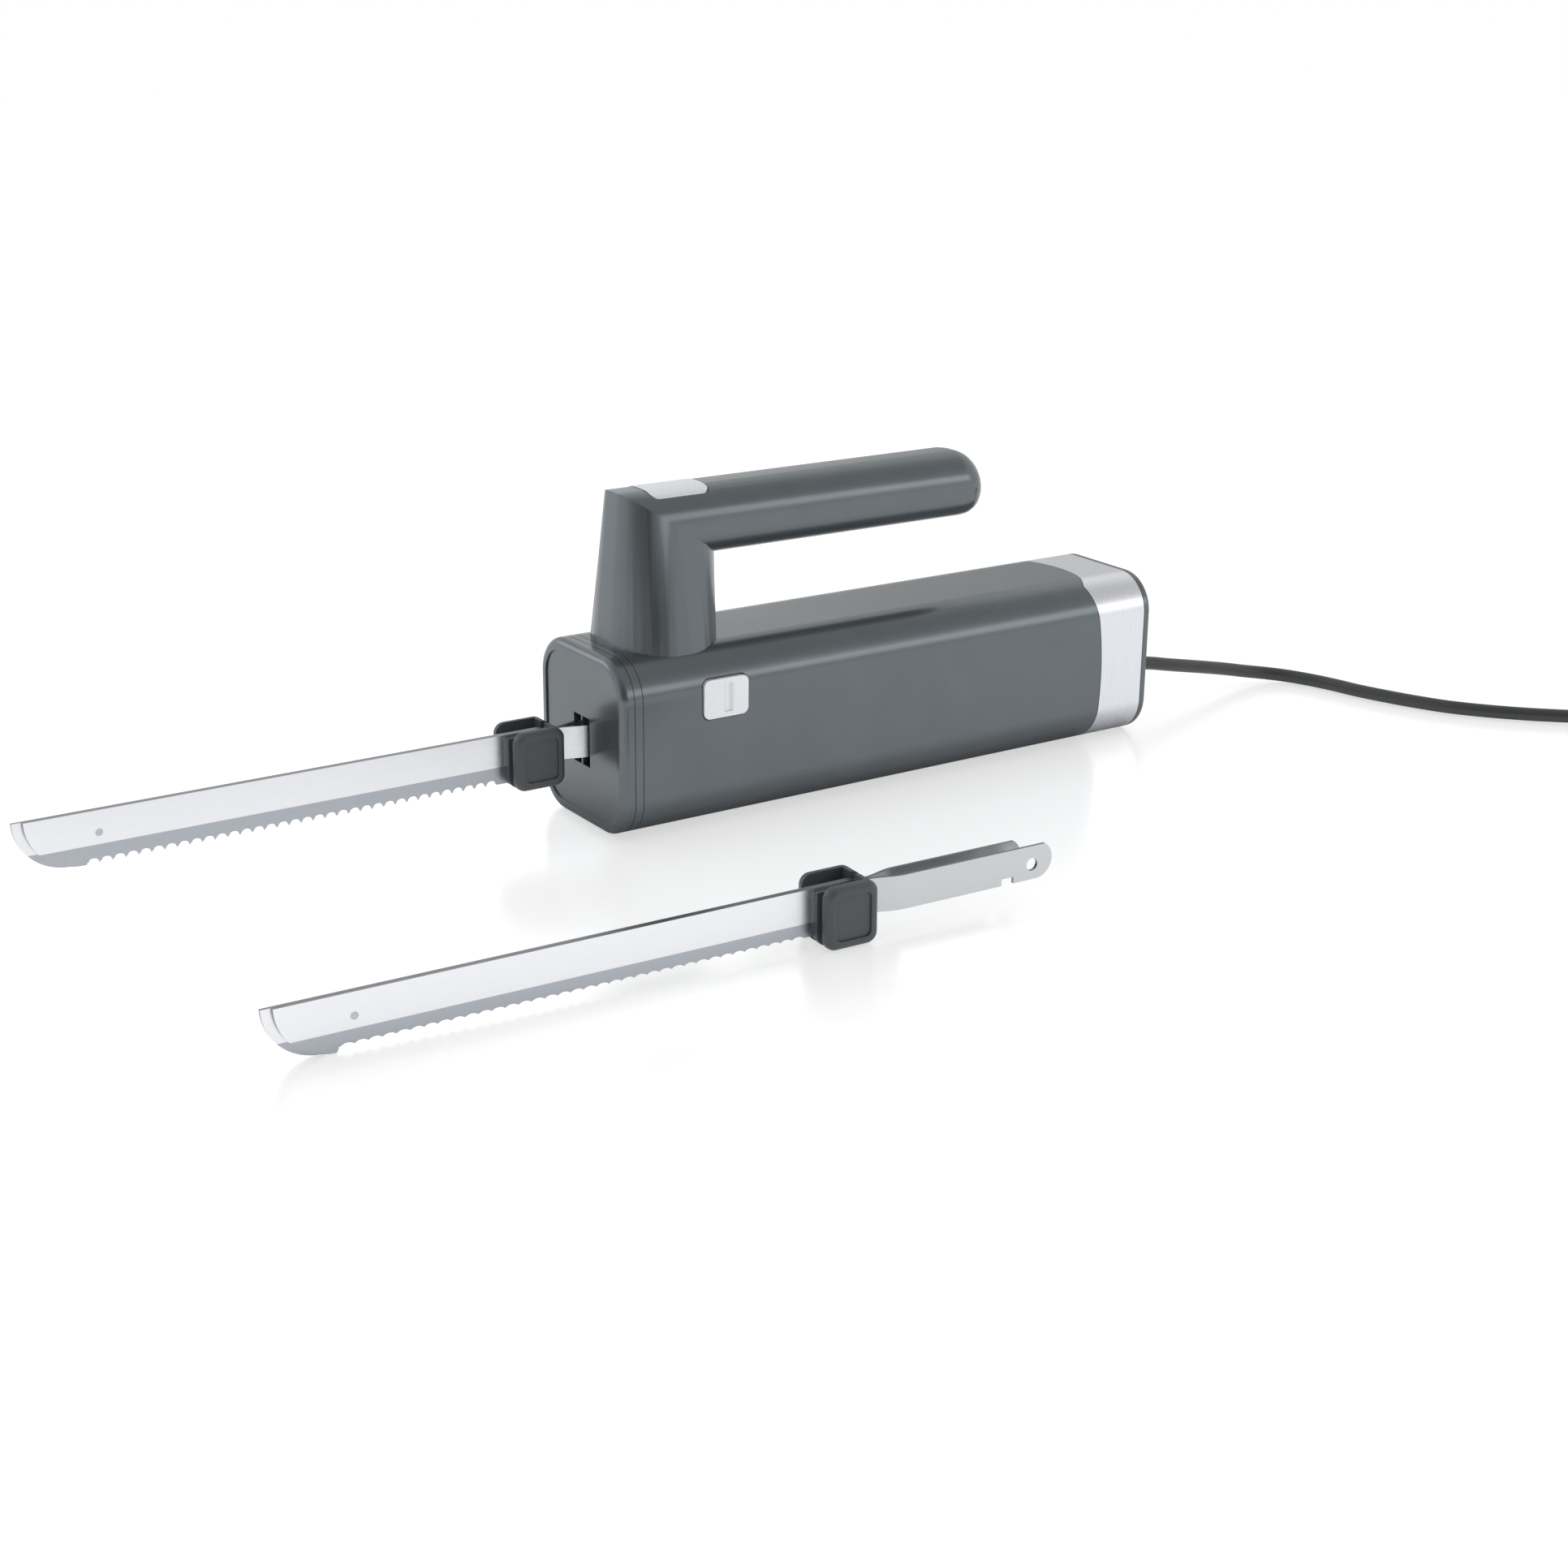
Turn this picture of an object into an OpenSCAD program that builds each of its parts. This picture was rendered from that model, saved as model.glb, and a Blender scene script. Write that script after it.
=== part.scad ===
// Electric carving knife: a square body with a motor, a cantilever grip on a column,
// two blades that run side by side in opposite directions, and a spare pair of blades.
// Millimetres. X runs from the blades to the cord, Z is up, Y is zero between the blades.
// The origin is the centre of the flat bottom of the body.

/* [Body] */
// Length of the body from the nose to the rear cap
body_len = 247; // [235:1:270]
// Width of the body
body_w = 60; // [58:1:66]
// Height of the body
body_h = 66; // [65:1:74]
// Radius of the body's long corners
body_r = 15; // [12:0.5:18]
// Wall of the body sleeve
wall = 2.5; // [2:0.1:3]
// Visible gap between neighbouring housing parts
seam = 0.25; // [0.15:0.05:0.4]
// Depth of the nose cap
nose_len = 5.3; // [4.5:0.1:7]
// Depth of the collar behind the nose cap
collar_len = 3.4; // [2.5:0.1:5]
// Rounding of the nose cap's front edge
nose_edge = 3; // [2:0.25:4]
// Margin of the recessed panel on the nose
panel_margin = 4.4; // [3.5:0.2:6]
// Depth of the recessed panel on the nose
panel_depth = 0.6; // [0.3:0.1:1]
// Depth of the rear cap's rim
rear_len = 3.5; // [3:0.1:5]
// Rounding of the rear cap's edge
rear_edge = 2; // [1:0.25:3]
// Height of the metal band at the middle of the top face
band_len = 20; // [14:0.5:26]
// Thickness of the metal band
band_t = 1.2; // [0.8:0.1:1.6]
// Radius of the bow of the band's front edge on the top and bottom
bow_top_r = 42; // [40:1:80]
// Radius of the bow of the band's front edge on the sides
bow_side_r = 140; // [100:5:200]
// Number of air slots in the bottom
vent_count = 7; // [3:1:9]
// Width of one air slot
vent_w = 2.4; // [1.6:0.2:3]
// Length of one air slot
vent_len = 24; // [16:1:28]

/* [Handle] */
// Length of the column's foot
foot_len = 43; // [40:1:48]
// Width of the column's foot
foot_w = 45; // [42:1:50]
// Corner radius of the column's foot
foot_r = 19; // [16:0.5:20]
// Distance from the nose to the column's foot
foot_x = 9.4; // [7:0.2:12]
// Height of the top of the grip above the table
grip_top = 121.5; // [118:0.5:130]
// Height of the grip's section
grip_h = 25.7; // [25:0.1:30]
// Width of the grip's section
grip_w = 30; // [28:0.5:34]
// Corner radius of the grip's section
grip_r = 12; // [9:0.5:12.4]
// Distance from the nose to the grip's front top corner
grip_x = 14.5; // [12:0.5:18]
// Length of the mitre between column and grip, along the body
mitre_len = 39.4; // [34:0.2:42]
// Distance from the nose to the end of the grip
grip_end = 174.5; // [165:0.5:185]
// Radius of the grip's end at the top
end_top_r = 12; // [10:0.5:15]
// Radius of the grip's end at the bottom
end_low_r = 7; // [5:0.5:9]
// Radius of the grip's end at the sides
end_side_r = 10; // [7:0.5:12]
// Wall of the handle
grip_wall = 2.6; // [2:0.1:3]
// Length of the on switch plate
key_len = 24.2; // [18:0.2:26]
// Width of the on switch plate
key_w = 19.6; // [16:0.2:22]
// Distance from the nose to the on switch plate
key_x = 25.4; // [22:0.2:30]
// Travel of the on switch plate
key_travel = 2; // [1.2:0.1:2.4]

/* [Release buttons] */
// Length of a release button
button_len = 18.9; // [15:0.1:20]
// Height of a release button
button_h = 14.6; // [11:0.1:15]
// Corner radius of a release button
button_r = 2.6; // [1.5:0.1:4]
// Distance from the nose to the middle of a release button
button_x = 43.3; // [42:0.1:45]
// Height of a release button's middle above the table
button_z = 48.6; // [47:0.1:49.5]
// How far a release button stands out
button_proud = 0.7; // [0.3:0.1:1.2]
// Travel of a release button
button_travel = 2.4; // [1.5:0.1:2.6]
// Gap round a button in its window
button_gap = 0.5; // [0.3:0.05:0.8]

/* [Blades] */
// Height of a blade
blade_h = 18; // [16:0.5:19]
// Thickness of a blade
blade_t = 1.2; // [1:0.05:1.3]
// Gap between the two blades
blade_gap = 0.1; // [0.06:0.02:0.16]
// Height of the blade's cutting edge above the table
edge_z = 21; // [20:0.25:22]
// Distance from the nose to the tip of the left blade
blade_reach = 204.2; // [180:1:230]
// How far the right blade reaches past the left one
right_extra = 3.4; // [2:0.2:5]
// Height of the ground bevel
bevel_h = 6.4; // [5:0.2:8]
// Thickness left at the cutting edge
edge_t = 0.3; // [0.2:0.05:0.5]
// Length of the plain belly before the teeth
belly_len = 19.5; // [19.5:0.5:28]
// Pitch of the teeth
tooth_pitch = 4.4; // [3.6:0.1:6]
// Depth of the teeth of the fitted blades
tooth_depth = 1.8; // [1:0.1:2.1]
// Depth of the teeth of the spare blades
spare_tooth_depth = 0.8; // [0.5:0.1:1.2]
// Step up from the belly to the teeth on the spare blades
spare_step = 1.6; // [1:0.1:2.2]
// How much longer the spare blades are
spare_extra = 8.6; // [0:0.1:12]
// Radius of the rivet that joins a pair near the tip
rivet_r = 1.3; // [1:0.05:1.5]
// Distance from the left blade's tip to its rivet
rivet_from_tip = 24.4; // [21:0.2:30]
// Height of the tang
tang_h = 12; // [10:0.5:12.5]
// Height of the tang's lower edge above the table
tang_z = 26; // [25.5:0.25:27]
// Length of the left tang behind the nose
tang_len = 61.8; // [58:0.2:62]
// How much shorter the right tang is
tang_short = 8; // [4:0.5:9]
// Distance of the tang's middle from the centre plane
tang_y = 3.5; // [3.3:0.05:3.6]
// Radius of the hole near the tang's end
tang_hole_r = 1.5; // [1:0.1:2]
// Width of the latch notch in the tang
notch_w = 4.9; // [4.6:0.1:5.4]
// Depth of the latch notch in the tang
notch_h = 2.4; // [1.5:0.1:3]
// Distance from the nose to the middle of the latch notch
notch_x = 43.6; // [43:0.1:44]

/* [Finger guards] */
// Length of a guard
guard_len = 19.8; // [17:0.2:21]
// Height of a guard
guard_h = 21.8; // [21:0.2:25]
// Distance of the guard's outer face from the centre plane
guard_y = 10; // [9:0.25:13]
// Distance between the guard and the nose
guard_gap = 11.3; // [10:0.1:15]
// Corner radius of the guard
guard_r = 4; // [3:0.25:6]
// Rounding of the guard's outer edge
guard_edge = 2.5; // [1:0.1:2.8]
// Thickness of the guard's inner flange
flange_t = 2; // [1.6:0.1:2.4]
// Thickness of the guard's outer plate
plate_t = 3.6; // [3:0.1:4]
// Length of the guard's web between flange and plate
web_len = 4.3; // [3:0.1:6]
// Margin of the recessed pad on the guard
pad_margin = 3.2; // [2.8:0.1:4.5]
// Depth of the recessed pad on the guard
pad_depth = 0.7; // [0.4:0.1:1]

/* [Drive] */
// Teeth of the drive gear
gear_teeth = 30; // [28:1:32]
// Pitch radius of the drive gear
gear_pitch_r = 14; // [13.8:0.1:14.2]
// Half width of the drive gear
gear_half = 3.5; // [3:0.1:3.6]
// Half height of a tooth or thread
mesh_depth = 1; // [0.9:0.02:1.04]
// Mean radius of the worm
worm_r = 3.6; // [3.5:0.05:3.8]
// Length of the worm
worm_len = 16; // [12:0.5:17]
// Gap between gear tips and the worm's root
mesh_gap = 0.3; // [0.25:0.05:0.4]
// Radius of an eccentric
cam_r = 8; // [7.8:0.1:8.4]
// Offset of an eccentric, half of the full stroke
cam_offset = 4.5; // [4:0.1:4.6]
// Thickness of an eccentric
cam_t = 5.7; // [5.5:0.1:6]
// Clearance of an eccentric in its yoke
yoke_clear = 0.3; // [0.27:0.01:0.35]
// Radius of the gear's axle
axle_r = 2.5; // [2.2:0.1:2.6]
// Radial running clearance of shafts and pins
run_clear = 0.05; // [0.03:0.01:0.08]
// Height of the motor shaft above the table
shaft_z = 27; // [26.5:0.1:27.5]
// Radius of the motor shaft
shaft_r = 2; // [1.8:0.05:2.1]
// Distance from the nose to the gear's axle
gear_x = 84; // [83.5:0.25:85]
// Sliding clearance of the blade carriers
slide_clear = 0.3; // [0.2:0.05:0.35]
// Clearance of a tang in its carrier
tang_clear = 0.15; // [0.1:0.01:0.2]

/* [Motor] */
// Outer radius of the motor can
motor_r = 19.5; // [18.5:0.25:20.5]
// Length of the motor can
motor_len = 50; // [46:1:54]
// Distance from the nose to the motor can
motor_x = 112; // [111:0.5:116]
// Wall of the motor can
can_t = 1.5; // [1:0.1:2]
// Thickness of the magnets
magnet_t = 3.4; // [2.8:0.1:3.8]
// Radius of the armature
armature_r = 13.9; // [13:0.1:14.2]
// Number of armature slots
slot_count = 12; // [8:1:14]
// Radius of the commutator
commutator_r = 6; // [5:0.25:7]
// Radius of the cooling fan
fan_r = 17; // [14:0.5:17.5]
// Number of fan blades
fan_blades = 9; // [6:1:12]

/* [Cord] */
// Diameter of the cord
cord_d = 5.6; // [5:0.2:6]
// Height of the cord's exit above the table
exit_z = 19; // [17:0.5:22]
// Length of the cord sleeve outside the rear cap
boot_out = 14; // [12:0.5:16]
// Turns in each of the coil's two layers
layer_turns = 2.375;
// Outer turn radius of the coil
coil_r = 40; // [40:1:40]
// Gap between neighbouring turns
coil_gap = 0.5; // [0.45:0.05:0.8]
// Thickness of the coil's tie
tie_t = 0.8; // [0.6:0.1:1]

/* [Hidden] */
fine = 64;
small = 32;
eps = 0.01;
slate = "#565c60";
light_grey = "#d9dbe0";
steel = "#d4d6da";
aluminium = "#e2e4e8";
guard_grey = "#43484a";
nylon = "#e9e6dc";
copper = "#b06a3a";
brass = "#c8a24a";
dark = "#2f3234";
board_green = "#2e6b47";

// Places along the body are distances from the nose, turned into X here
nose_x = -body_len / 2;
body_mid_z = body_h / 2;
sleeve_x0 = nose_len + collar_len + seam;
rear_x = body_len - rear_len;
bow_x = rear_x - band_len;
bow_side_drop = 1.6;
inner_w = body_w - 2 * wall;
inner_h = body_h - 2 * wall;
inner_r = body_r - wall;
fit = 0.1;

// Module-sized values of the drive
centre_dist = gear_pitch_r + mesh_gap + worm_r;
gear_z = shaft_z + centre_dist;
gear_tip_r = centre_dist - (worm_r - mesh_depth) - mesh_gap;
gear_root_r = centre_dist - (worm_r + mesh_depth) - mesh_gap;
worm_pitch = 2 * PI * gear_pitch_r / gear_teeth;
cam_y1 = gear_half + cam_t;
yoke_t = 2.8;
yoke_y0 = cam_y1 - yoke_t - 0.2;
yoke_y1 = yoke_y0 + yoke_t;
yoke_wall = 3;
yoke_half_x = cam_r + yoke_clear + yoke_wall;
yoke_half_z = cam_r + cam_offset + yoke_clear + 2.6;
tower_y0 = cam_y1 + 1.3;
tower_t = 2.5;
stroke = 4.1;

// Carriers
carrier_x0 = 12;
carrier_z0 = tang_z - 2;
carrier_z1 = tang_z + tang_h + 2.2;
carrier_y0 = 1.1;
carrier_y1 = 5.8;
latch_pivot_y = 13;
latch_pivot_z = tang_z - 4;
latch_w = 4;
latch_arm_t = 1.9;
latch_gap = 0.4;
pusher_y = latch_pivot_y + latch_arm_t + 0.6 + latch_gap;
latch_pin_r = 1;
floor_top = wall + 3.5;

// Handle
grip_bot = grip_top - grip_h;
column_low = body_h - 6;

// Cord route on the table, then the coil; each point is a place of the cord's centre
cord_r = cord_d / 2;
coil_centre = [346, -124];
coil_start = -140;
coil_pitch = cord_d + coil_gap;
coil_z0 = cord_r + tie_t + 0.1;
coil_dip = 2.5;
cord_route = [
    [104, 0, 19], [137.5, 0, 19], [144, 0, 19], [152, 0, 18], [162, 0, 15.8], [174, 0.5, 13.2],
    [186, 1, 10.6], [198, 1.2, 7.9], [208, 0.6, 5.6], [217.5, -2, 3.9], [225.5, -8.2, 2.9],
    [230.3, -18.8, 2.8], [233.4, -29.3, 2.8], [235.9, -40.9, 2.8], [239.8, -52.8, 2.8],
    [244.5, -64.9, 2.8], [250.8, -77.7, 2.8], [259.8, -90.2, 2.8], [270.2, -101.7, 2.8],
    [281.2, -112.4, 2.9], [292.4, -122.6, 3.2], [302, -131.8, 3.5], [309, -140, 3.7]];
tail_route = [[380.5, -147.4, 9.7], [389, -141, 9.2], [396.5, -134.5, 8.3],
    [401.5, -127, 7.2], [403.5, -119, 6.6], [403.5, -112, 6.6]];

// Helpers: rounded outlines and bodies
function nx(d) = nose_x + d;
module rounded_rect(w, h, r) {
    square([w - 2 * r, h], center = true);
    square([w, h - 2 * r], center = true);
    for (sx = [-1, 1], sy = [-1, 1])
        translate([sx * (w / 2 - r), sy * (h / 2 - r)])
            circle(r, $fn = fine);
}
// Extrudes an outline drawn in Y and Z along X
module along_x(x, len) {
    translate([x, 0, 0])
        rotate([90, 0, 90])
            linear_extrude(len)
                children();
}
// Extrudes an outline drawn in X and Z along Y, from y0 to y1
module along_y(y0, y1) {
    translate([0, y1, 0])
        rotate([90, 0, 0])
            linear_extrude(y1 - y0)
                children();
}
module cyl_x(x, len, r, y = 0, z = 0, fn = fine) {
    translate([x, y, z])
        rotate([0, 90, 0])
            cylinder(h = len, r = r, $fn = fn);
}
module cyl_y(y0, y1, r, x = 0, z = 0, fn = fine) {
    translate([x, y0, z])
        rotate([-90, 0, 0])
            cylinder(h = y1 - y0, r = r, $fn = fn);
}
module block(x0, x1, y0, y1, z0, z1) {
    translate([x0, y0, z0])
        cube([x1 - x0, y1 - y0, z1 - z0]);
}
// The body's outline, drawn in by inset, between two distances from the nose
module body_prism(d0, d1, inset) {
    along_x(nx(d0), d1 - d0)
        translate([0, body_mid_z])
            rounded_rect(body_w - 2 * inset, body_h - 2 * inset, body_r - inset);
}
// A slab in X and Y whose upper outer edge is rounded; its lower face is at zero
module soft_profile(h, t, e) {
    square([h, t - e]);
    square([h - e, t]);
    intersection() {
        translate([h - e, t - e])
            circle(e, $fn = small);
        square([h, t]);
    }
}
module soft_slab(w, h, r, t, e) {
    for (sx = [-1, 1], sy = [-1, 1])
        translate([sx * (w / 2 - r), sy * (h / 2 - r), 0])
            rotate_extrude($fn = fine)
                soft_profile(r, t, e);
    for (s = [0, 1])
        rotate([90, 0, 90 * s])
            translate([0, 0, -(s == 0 ? h : w) / 2 + r])
                linear_extrude((s == 0 ? h : w) - 2 * r)
                    for (m = [0, 1])
                        mirror([m, 0])
                            soft_profile((s == 0 ? w : h) / 2, t, e);
}
// Helpers: tubes and lofts from rings of points
function unit(v) = v / norm(v);
function tangent(p, i) = unit(p[min(i + 1, len(p) - 1)] - p[max(i - 1, 0)]);
function tube_ring(c, t, r, n) =
    let (side = unit(cross(t, [0, 0, 1])), up = cross(side, t))
    [for (k = [0:n - 1]) c + r * (cos(360 * k / n) * side + sin(360 * k / n) * up)];
function ring_faces(m, n) = [
    for (i = [0:m - 2], k = [0:n - 1])
        let (a = i * n + k, b = i * n + (k + 1) % n)
        each [[a, a + n, b], [b, a + n, b + n]]];
module loft(rings) {
    m = len(rings);
    n = len(rings[0]);
    polyhedron(points = [for (q = rings) each q],
        faces = concat([[for (k = [0:n - 1]) k]], ring_faces(m, n),
            [[for (k = [n - 1:-1:0]) (m - 1) * n + k]]));
}
module tube(path, r, n) {
    rings = [for (i = [0:len(path) - 1]) tube_ring(path[i], tangent(path, i), r, n)];
    loft([for (q = rings) [for (k = [n - 1:-1:0]) q[k]]]);
}
module spring(turns, len, r, wire) {
    steps = 12;
    path = [for (i = [0:turns * steps])
        let (a = 360 * i / steps)
        [r * cos(a), r * sin(a), wire + (len - 2 * wire) * i / (turns * steps)]];
    tube(path, wire, 6);
}
// One closed outline with rounded corners as points, a across and b along
function corner_ring(a, b, r, n = 9) = [
    for (q = [0:3], i = [0:n])
        let (t = 90 * (q + i / n), sa = (q == 0 || q == 3) ? 1 : -1, sb = q < 2 ? 1 : -1)
        [sa * (a / 2 - r) + r * cos(t), sb * (b / 2 - r) + r * sin(t)]];

// Helpers: the handle's outer form and, with an inset, its hollow
function mitre_x(z, t) = nx(grip_x) + t
    + (grip_top - t - z) * (mitre_len - 2 * t) / (grip_h - 2 * t);
function foot_ring(z, t) =
    let (grow = (body_h - z) / (grip_bot - body_h))
    [for (p = corner_ring(foot_len - 2 * t + 4 * grow, foot_w - 2 * t + 4 * grow, foot_r - t))
        [nx(foot_x + foot_len / 2) + p[0] - 1 * grow, p[1], z]];
function mitre_ring(t) = [
    for (p = corner_ring(grip_h - 2 * t, grip_w - 2 * t, grip_r - t))
        [mitre_x(grip_top - grip_h / 2 - p[0], t), p[1], grip_top - grip_h / 2 - p[0]]];
function inset_at(d, r) =
    let (s = max(0, d - (grip_end - r)))
    r - sqrt(max(0, r * r - s * s));
function grip_ring(d, t) =
    let (
        top = grip_top - t - inset_at(d, end_top_r),
        low = grip_bot + t + inset_at(d, end_low_r),
        w = grip_w - 2 * t - 2 * inset_at(d, end_side_r),
        h = top - low,
        r = min(grip_r - t, h / 2 - eps, w / 2 - eps))
    [for (p = corner_ring(h, w, r))
        [nx(d), p[1], (top + low) / 2 - p[0]]];
module handle_form(t) {
    end_steps = [0, 0.3, 0.52, 0.7, 0.83, 0.92, 0.98, 1];
    x_end = grip_end - end_top_r;
    stop = t > 0 ? 5 : 7;
    loft(concat([foot_ring(column_low - (t > 0 ? 1 : 0), t), mitre_ring(t)],
        [for (i = [0:stop]) grip_ring(x_end + (end_top_r - (t > 0 ? t : 0)) * end_steps[i], t)]));
}

// Housing
module nose_slots(x0, x1) {
    slot_z0 = 22.2;
    slot_z1 = 40.7;
    for (s = [-1, 1])
        block(x0, x1, min(s * 0.5, s * 5.7), max(s * 0.5, s * 5.7), slot_z0, slot_z1);
}
module nose_cap() {
    spigot = 5;
    color(slate)
        difference() {
            union() {
                translate([nx(nose_len), 0, body_mid_z])
                    rotate([0, -90, 0])
                        soft_slab(body_h, body_w, body_r, nose_len, nose_edge);
                body_prism(nose_len - eps, sleeve_x0 + spigot, wall + fit);
            }
            body_prism(3, sleeve_x0 + spigot + 1, wall + fit + 1.8);
            along_x(nx(-1), 1 + panel_depth)
                translate([0, body_mid_z])
                    rounded_rect(body_w - 2 * panel_margin, body_h - 2 * panel_margin,
                        body_r - panel_margin);
            nose_slots(nx(-2), nx(6));
        }
}
module nose_collar() {
    color(slate)
        difference() {
            body_prism(nose_len + seam, nose_len + collar_len, 0);
            body_prism(nose_len, nose_len + collar_len + 1, wall);
        }
}
// Everything in front of the bowed edge of the metal band, moved back by grow
module bow_front(grow) {
    translate([nx(bow_x + grow - bow_top_r), 0, -1])
        cylinder(h = body_h + 2, r = bow_top_r, $fn = 96);
    cyl_y(-body_w / 2 - 1, body_w / 2 + 1, bow_side_r,
        nx(bow_x + grow - bow_side_drop - bow_side_r), body_mid_z - 5, 128);
}
module button_window(grow) {
    for (s = [-1, 1])
        along_y(min(s * (inner_w / 2 - 2), s * (body_w / 2 + 2)),
            max(s * (inner_w / 2 - 2), s * (body_w / 2 + 2)))
            translate([nx(button_x), button_z])
                rounded_rect(button_len + 2 * grow, button_h + 2 * grow, button_r + grow);
}
module body_sleeve() {
    vent_x0 = 128;
    vent_pitch = 5.5;
    color(slate)
        difference() {
            intersection() {
                body_prism(sleeve_x0, rear_x, 0);
                bow_front(0);
            }
            body_prism(sleeve_x0 - 1, rear_x + 1, wall);
            button_window(button_gap);
            translate([nx(wire_x), 0, body_h - 4])
                cylinder(h = 6, r = wire_hole_r, $fn = small);
            for (p = foot_screws)
                translate([p[0], p[1], body_h - 6])
                    cylinder(h = 8, r = 1.7, $fn = small);
            for (p = under_screws)
                translate([p[0], p[1], 0]) {
                    translate([0, 0, -1])
                        cylinder(h = 2.3, r = 3.2, $fn = small);
                    cylinder(h = 8, r = 1.6, $fn = small);
                }
            for (i = [0:vent_count - 1])
                block(nx(vent_x0 + i * vent_pitch), nx(vent_x0 + i * vent_pitch) + vent_w,
                    -vent_len / 2, vent_len / 2, -1, wall + 1);
        }
}
module metal_band() {
    color(aluminium)
        difference() {
            body_prism(bow_x - 16, rear_x - seam, 0);
            body_prism(bow_x - 17, rear_x, band_t);
            intersection() {
                body_prism(sleeve_x0, rear_x, -1);
                bow_front(seam);
            }
        }
}
module rear_cap() {
    spigot_x = bow_x - 12;
    color(slate)
        difference() {
            union() {
                translate([nx(rear_x), 0, body_mid_z])
                    rotate([0, 90, 0])
                        soft_slab(body_h, body_w, body_r, rear_len, rear_edge);
                body_prism(bow_x + 1, rear_x + eps, band_t + fit);
                body_prism(spigot_x, bow_x + 2, wall + fit);
            }
            body_prism(spigot_x - 1, rear_x - 0.5, wall + fit + 2);
            cyl_x(nx(rear_x) - 2, rear_len + 3, boot_hole_r, 0, exit_z, small);
        }
}

// Inner frame: floor, slide rails, button walls, gear towers, shaft pedestals
wire_x = 30;
wire_hole_r = 5;
foot_screws = [for (d = [foot_x + 9, foot_x + foot_len - 8], y = [-11, 11]) [nx(d), y]];
boot_hole_r = 4.6;
rail_x1 = 34;
rear_rail_x0 = 53.4;
rear_rail_x1 = 58;
keeper_x0 = 14.2;
guide_y = 19.6;
guide_t = 1.4;
stem_r = 2.6;
front_bush_x = 69;
bush_len = 4;
bush_r = 4;
saddle_t = 3;
end_bell_len = 8;
saddle_x = [motor_x + 6, motor_x + motor_len - 9];
board_z = 13;
board_x0 = 180;
board_x1 = 208;
chassis_x0 = 14.2;
chassis_x1 = 210;
under_screws = [for (p = [[25, -13], [25, 13], [196, -13], [196, 13]]) [nx(p[0]), p[1]]];
module chassis() {
    color(nylon)
        difference() {
            union() {
                intersection() {
                    body_prism(chassis_x0, chassis_x1, wall + 0.05);
                    block(nx(chassis_x0 - 1), nx(chassis_x1 + 1), -30, 30, 0, floor_top);
                }
                for (p = under_screws)
                    translate([p[0], p[1], floor_top - eps])
                        cylinder(h = 5, r = 3, $fn = small);
                for (s = [-1, 1]) {
                    mirror([0, s < 0 ? 1 : 0, 0]) {
                        block(nx(keeper_x0), nx(rail_x1), carrier_y0, carrier_y1,
                            floor_top - eps, carrier_z0 - slide_clear);
                        block(nx(rear_rail_x0), nx(rear_rail_x1), carrier_y0, carrier_y1,
                            floor_top - eps, carrier_z0 - slide_clear);
                        block(nx(button_x - 8), nx(button_x + 8), guide_y - guide_t, guide_y,
                            floor_top - eps, button_z + 6);
                        block(nx(gear_x - 7), nx(gear_x + 7), tower_y0, tower_y0 + tower_t,
                            floor_top - eps, gear_z + 6);
                    }
                }
                block(nx(front_bush_x), nx(front_bush_x + bush_len), -5.4, 5.4,
                    floor_top - eps, shaft_z + 3.6);
                for (x = saddle_x)
                    block(nx(x), nx(x + saddle_t), -21.5, 21.5, floor_top - eps, shaft_z - 6);
                for (x = [board_x0 + 3, board_x1 - 5], y = [-14, 14])
                    translate([nx(x), y, floor_top - eps])
                        cylinder(h = board_z - floor_top + eps, r = 3, $fn = small);
            }
            for (p = under_screws)
                translate([p[0], p[1], 0])
                    cylinder(h = 20, r = 1.5, $fn = small);
            for (s = [-1, 1])
                cyl_y(min(s * (guide_y - 3), s * (guide_y + 2)),
                    max(s * (guide_y - 3), s * (guide_y + 2)), stem_r + 0.2,
                    nx(button_x), button_z, small);
            cyl_y(-tower_y0 - 5, tower_y0 + 5, axle_r, nx(gear_x), gear_z);
            cyl_x(nx(front_bush_x - 1), bush_len + 2, bush_r, 0, shaft_z);
            for (x = saddle_x)
                cyl_x(nx(x - 1), saddle_t + 2, motor_r, 0, shaft_z);
        }
}
module slide_keeper() {
    top = carrier_z1 + slide_clear;
    color(nylon) {
        block(nx(keeper_x0), nx(rail_x1), -9, 9, top, top + 2.4);
        for (s = [-1, 1])
            block(nx(keeper_x0), nx(rail_x1), s < 0 ? -9 : carrier_y1 + slide_clear,
                s < 0 ? -carrier_y1 - slide_clear : 9, floor_top, top + eps);
    }
}
module gear_axle() {
    color(steel)
        cyl_y(-tower_y0 - tower_t, tower_y0 + tower_t, axle_r, nx(gear_x), gear_z);
}

// Motor
module motor_can() {
    color(steel)
        difference() {
            cyl_x(nx(motor_x), motor_len, motor_r, 0, shaft_z);
            cyl_x(nx(motor_x + can_t), motor_len, motor_r - can_t, 0, shaft_z);
            cyl_x(nx(motor_x - 1), 4, bush_r, 0, shaft_z);
            for (a = [0:60:300])
                translate([nx(motor_x - 1), 0, shaft_z])
                    rotate([a, 0, 0])
                        cyl_x(0, 4, 2.5, 0, 11, small);
        }
}
module motor_magnets() {
    color(dark)
        difference() {
            cyl_x(nx(motor_x + 6), 34, motor_r - can_t, 0, shaft_z);
            cyl_x(nx(motor_x + 5), 36, motor_r - can_t - magnet_t, 0, shaft_z);
            block(nx(motor_x), nx(motor_x + 50), -5, 5, shaft_z - 25, shaft_z + 25);
        }
}
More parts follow.
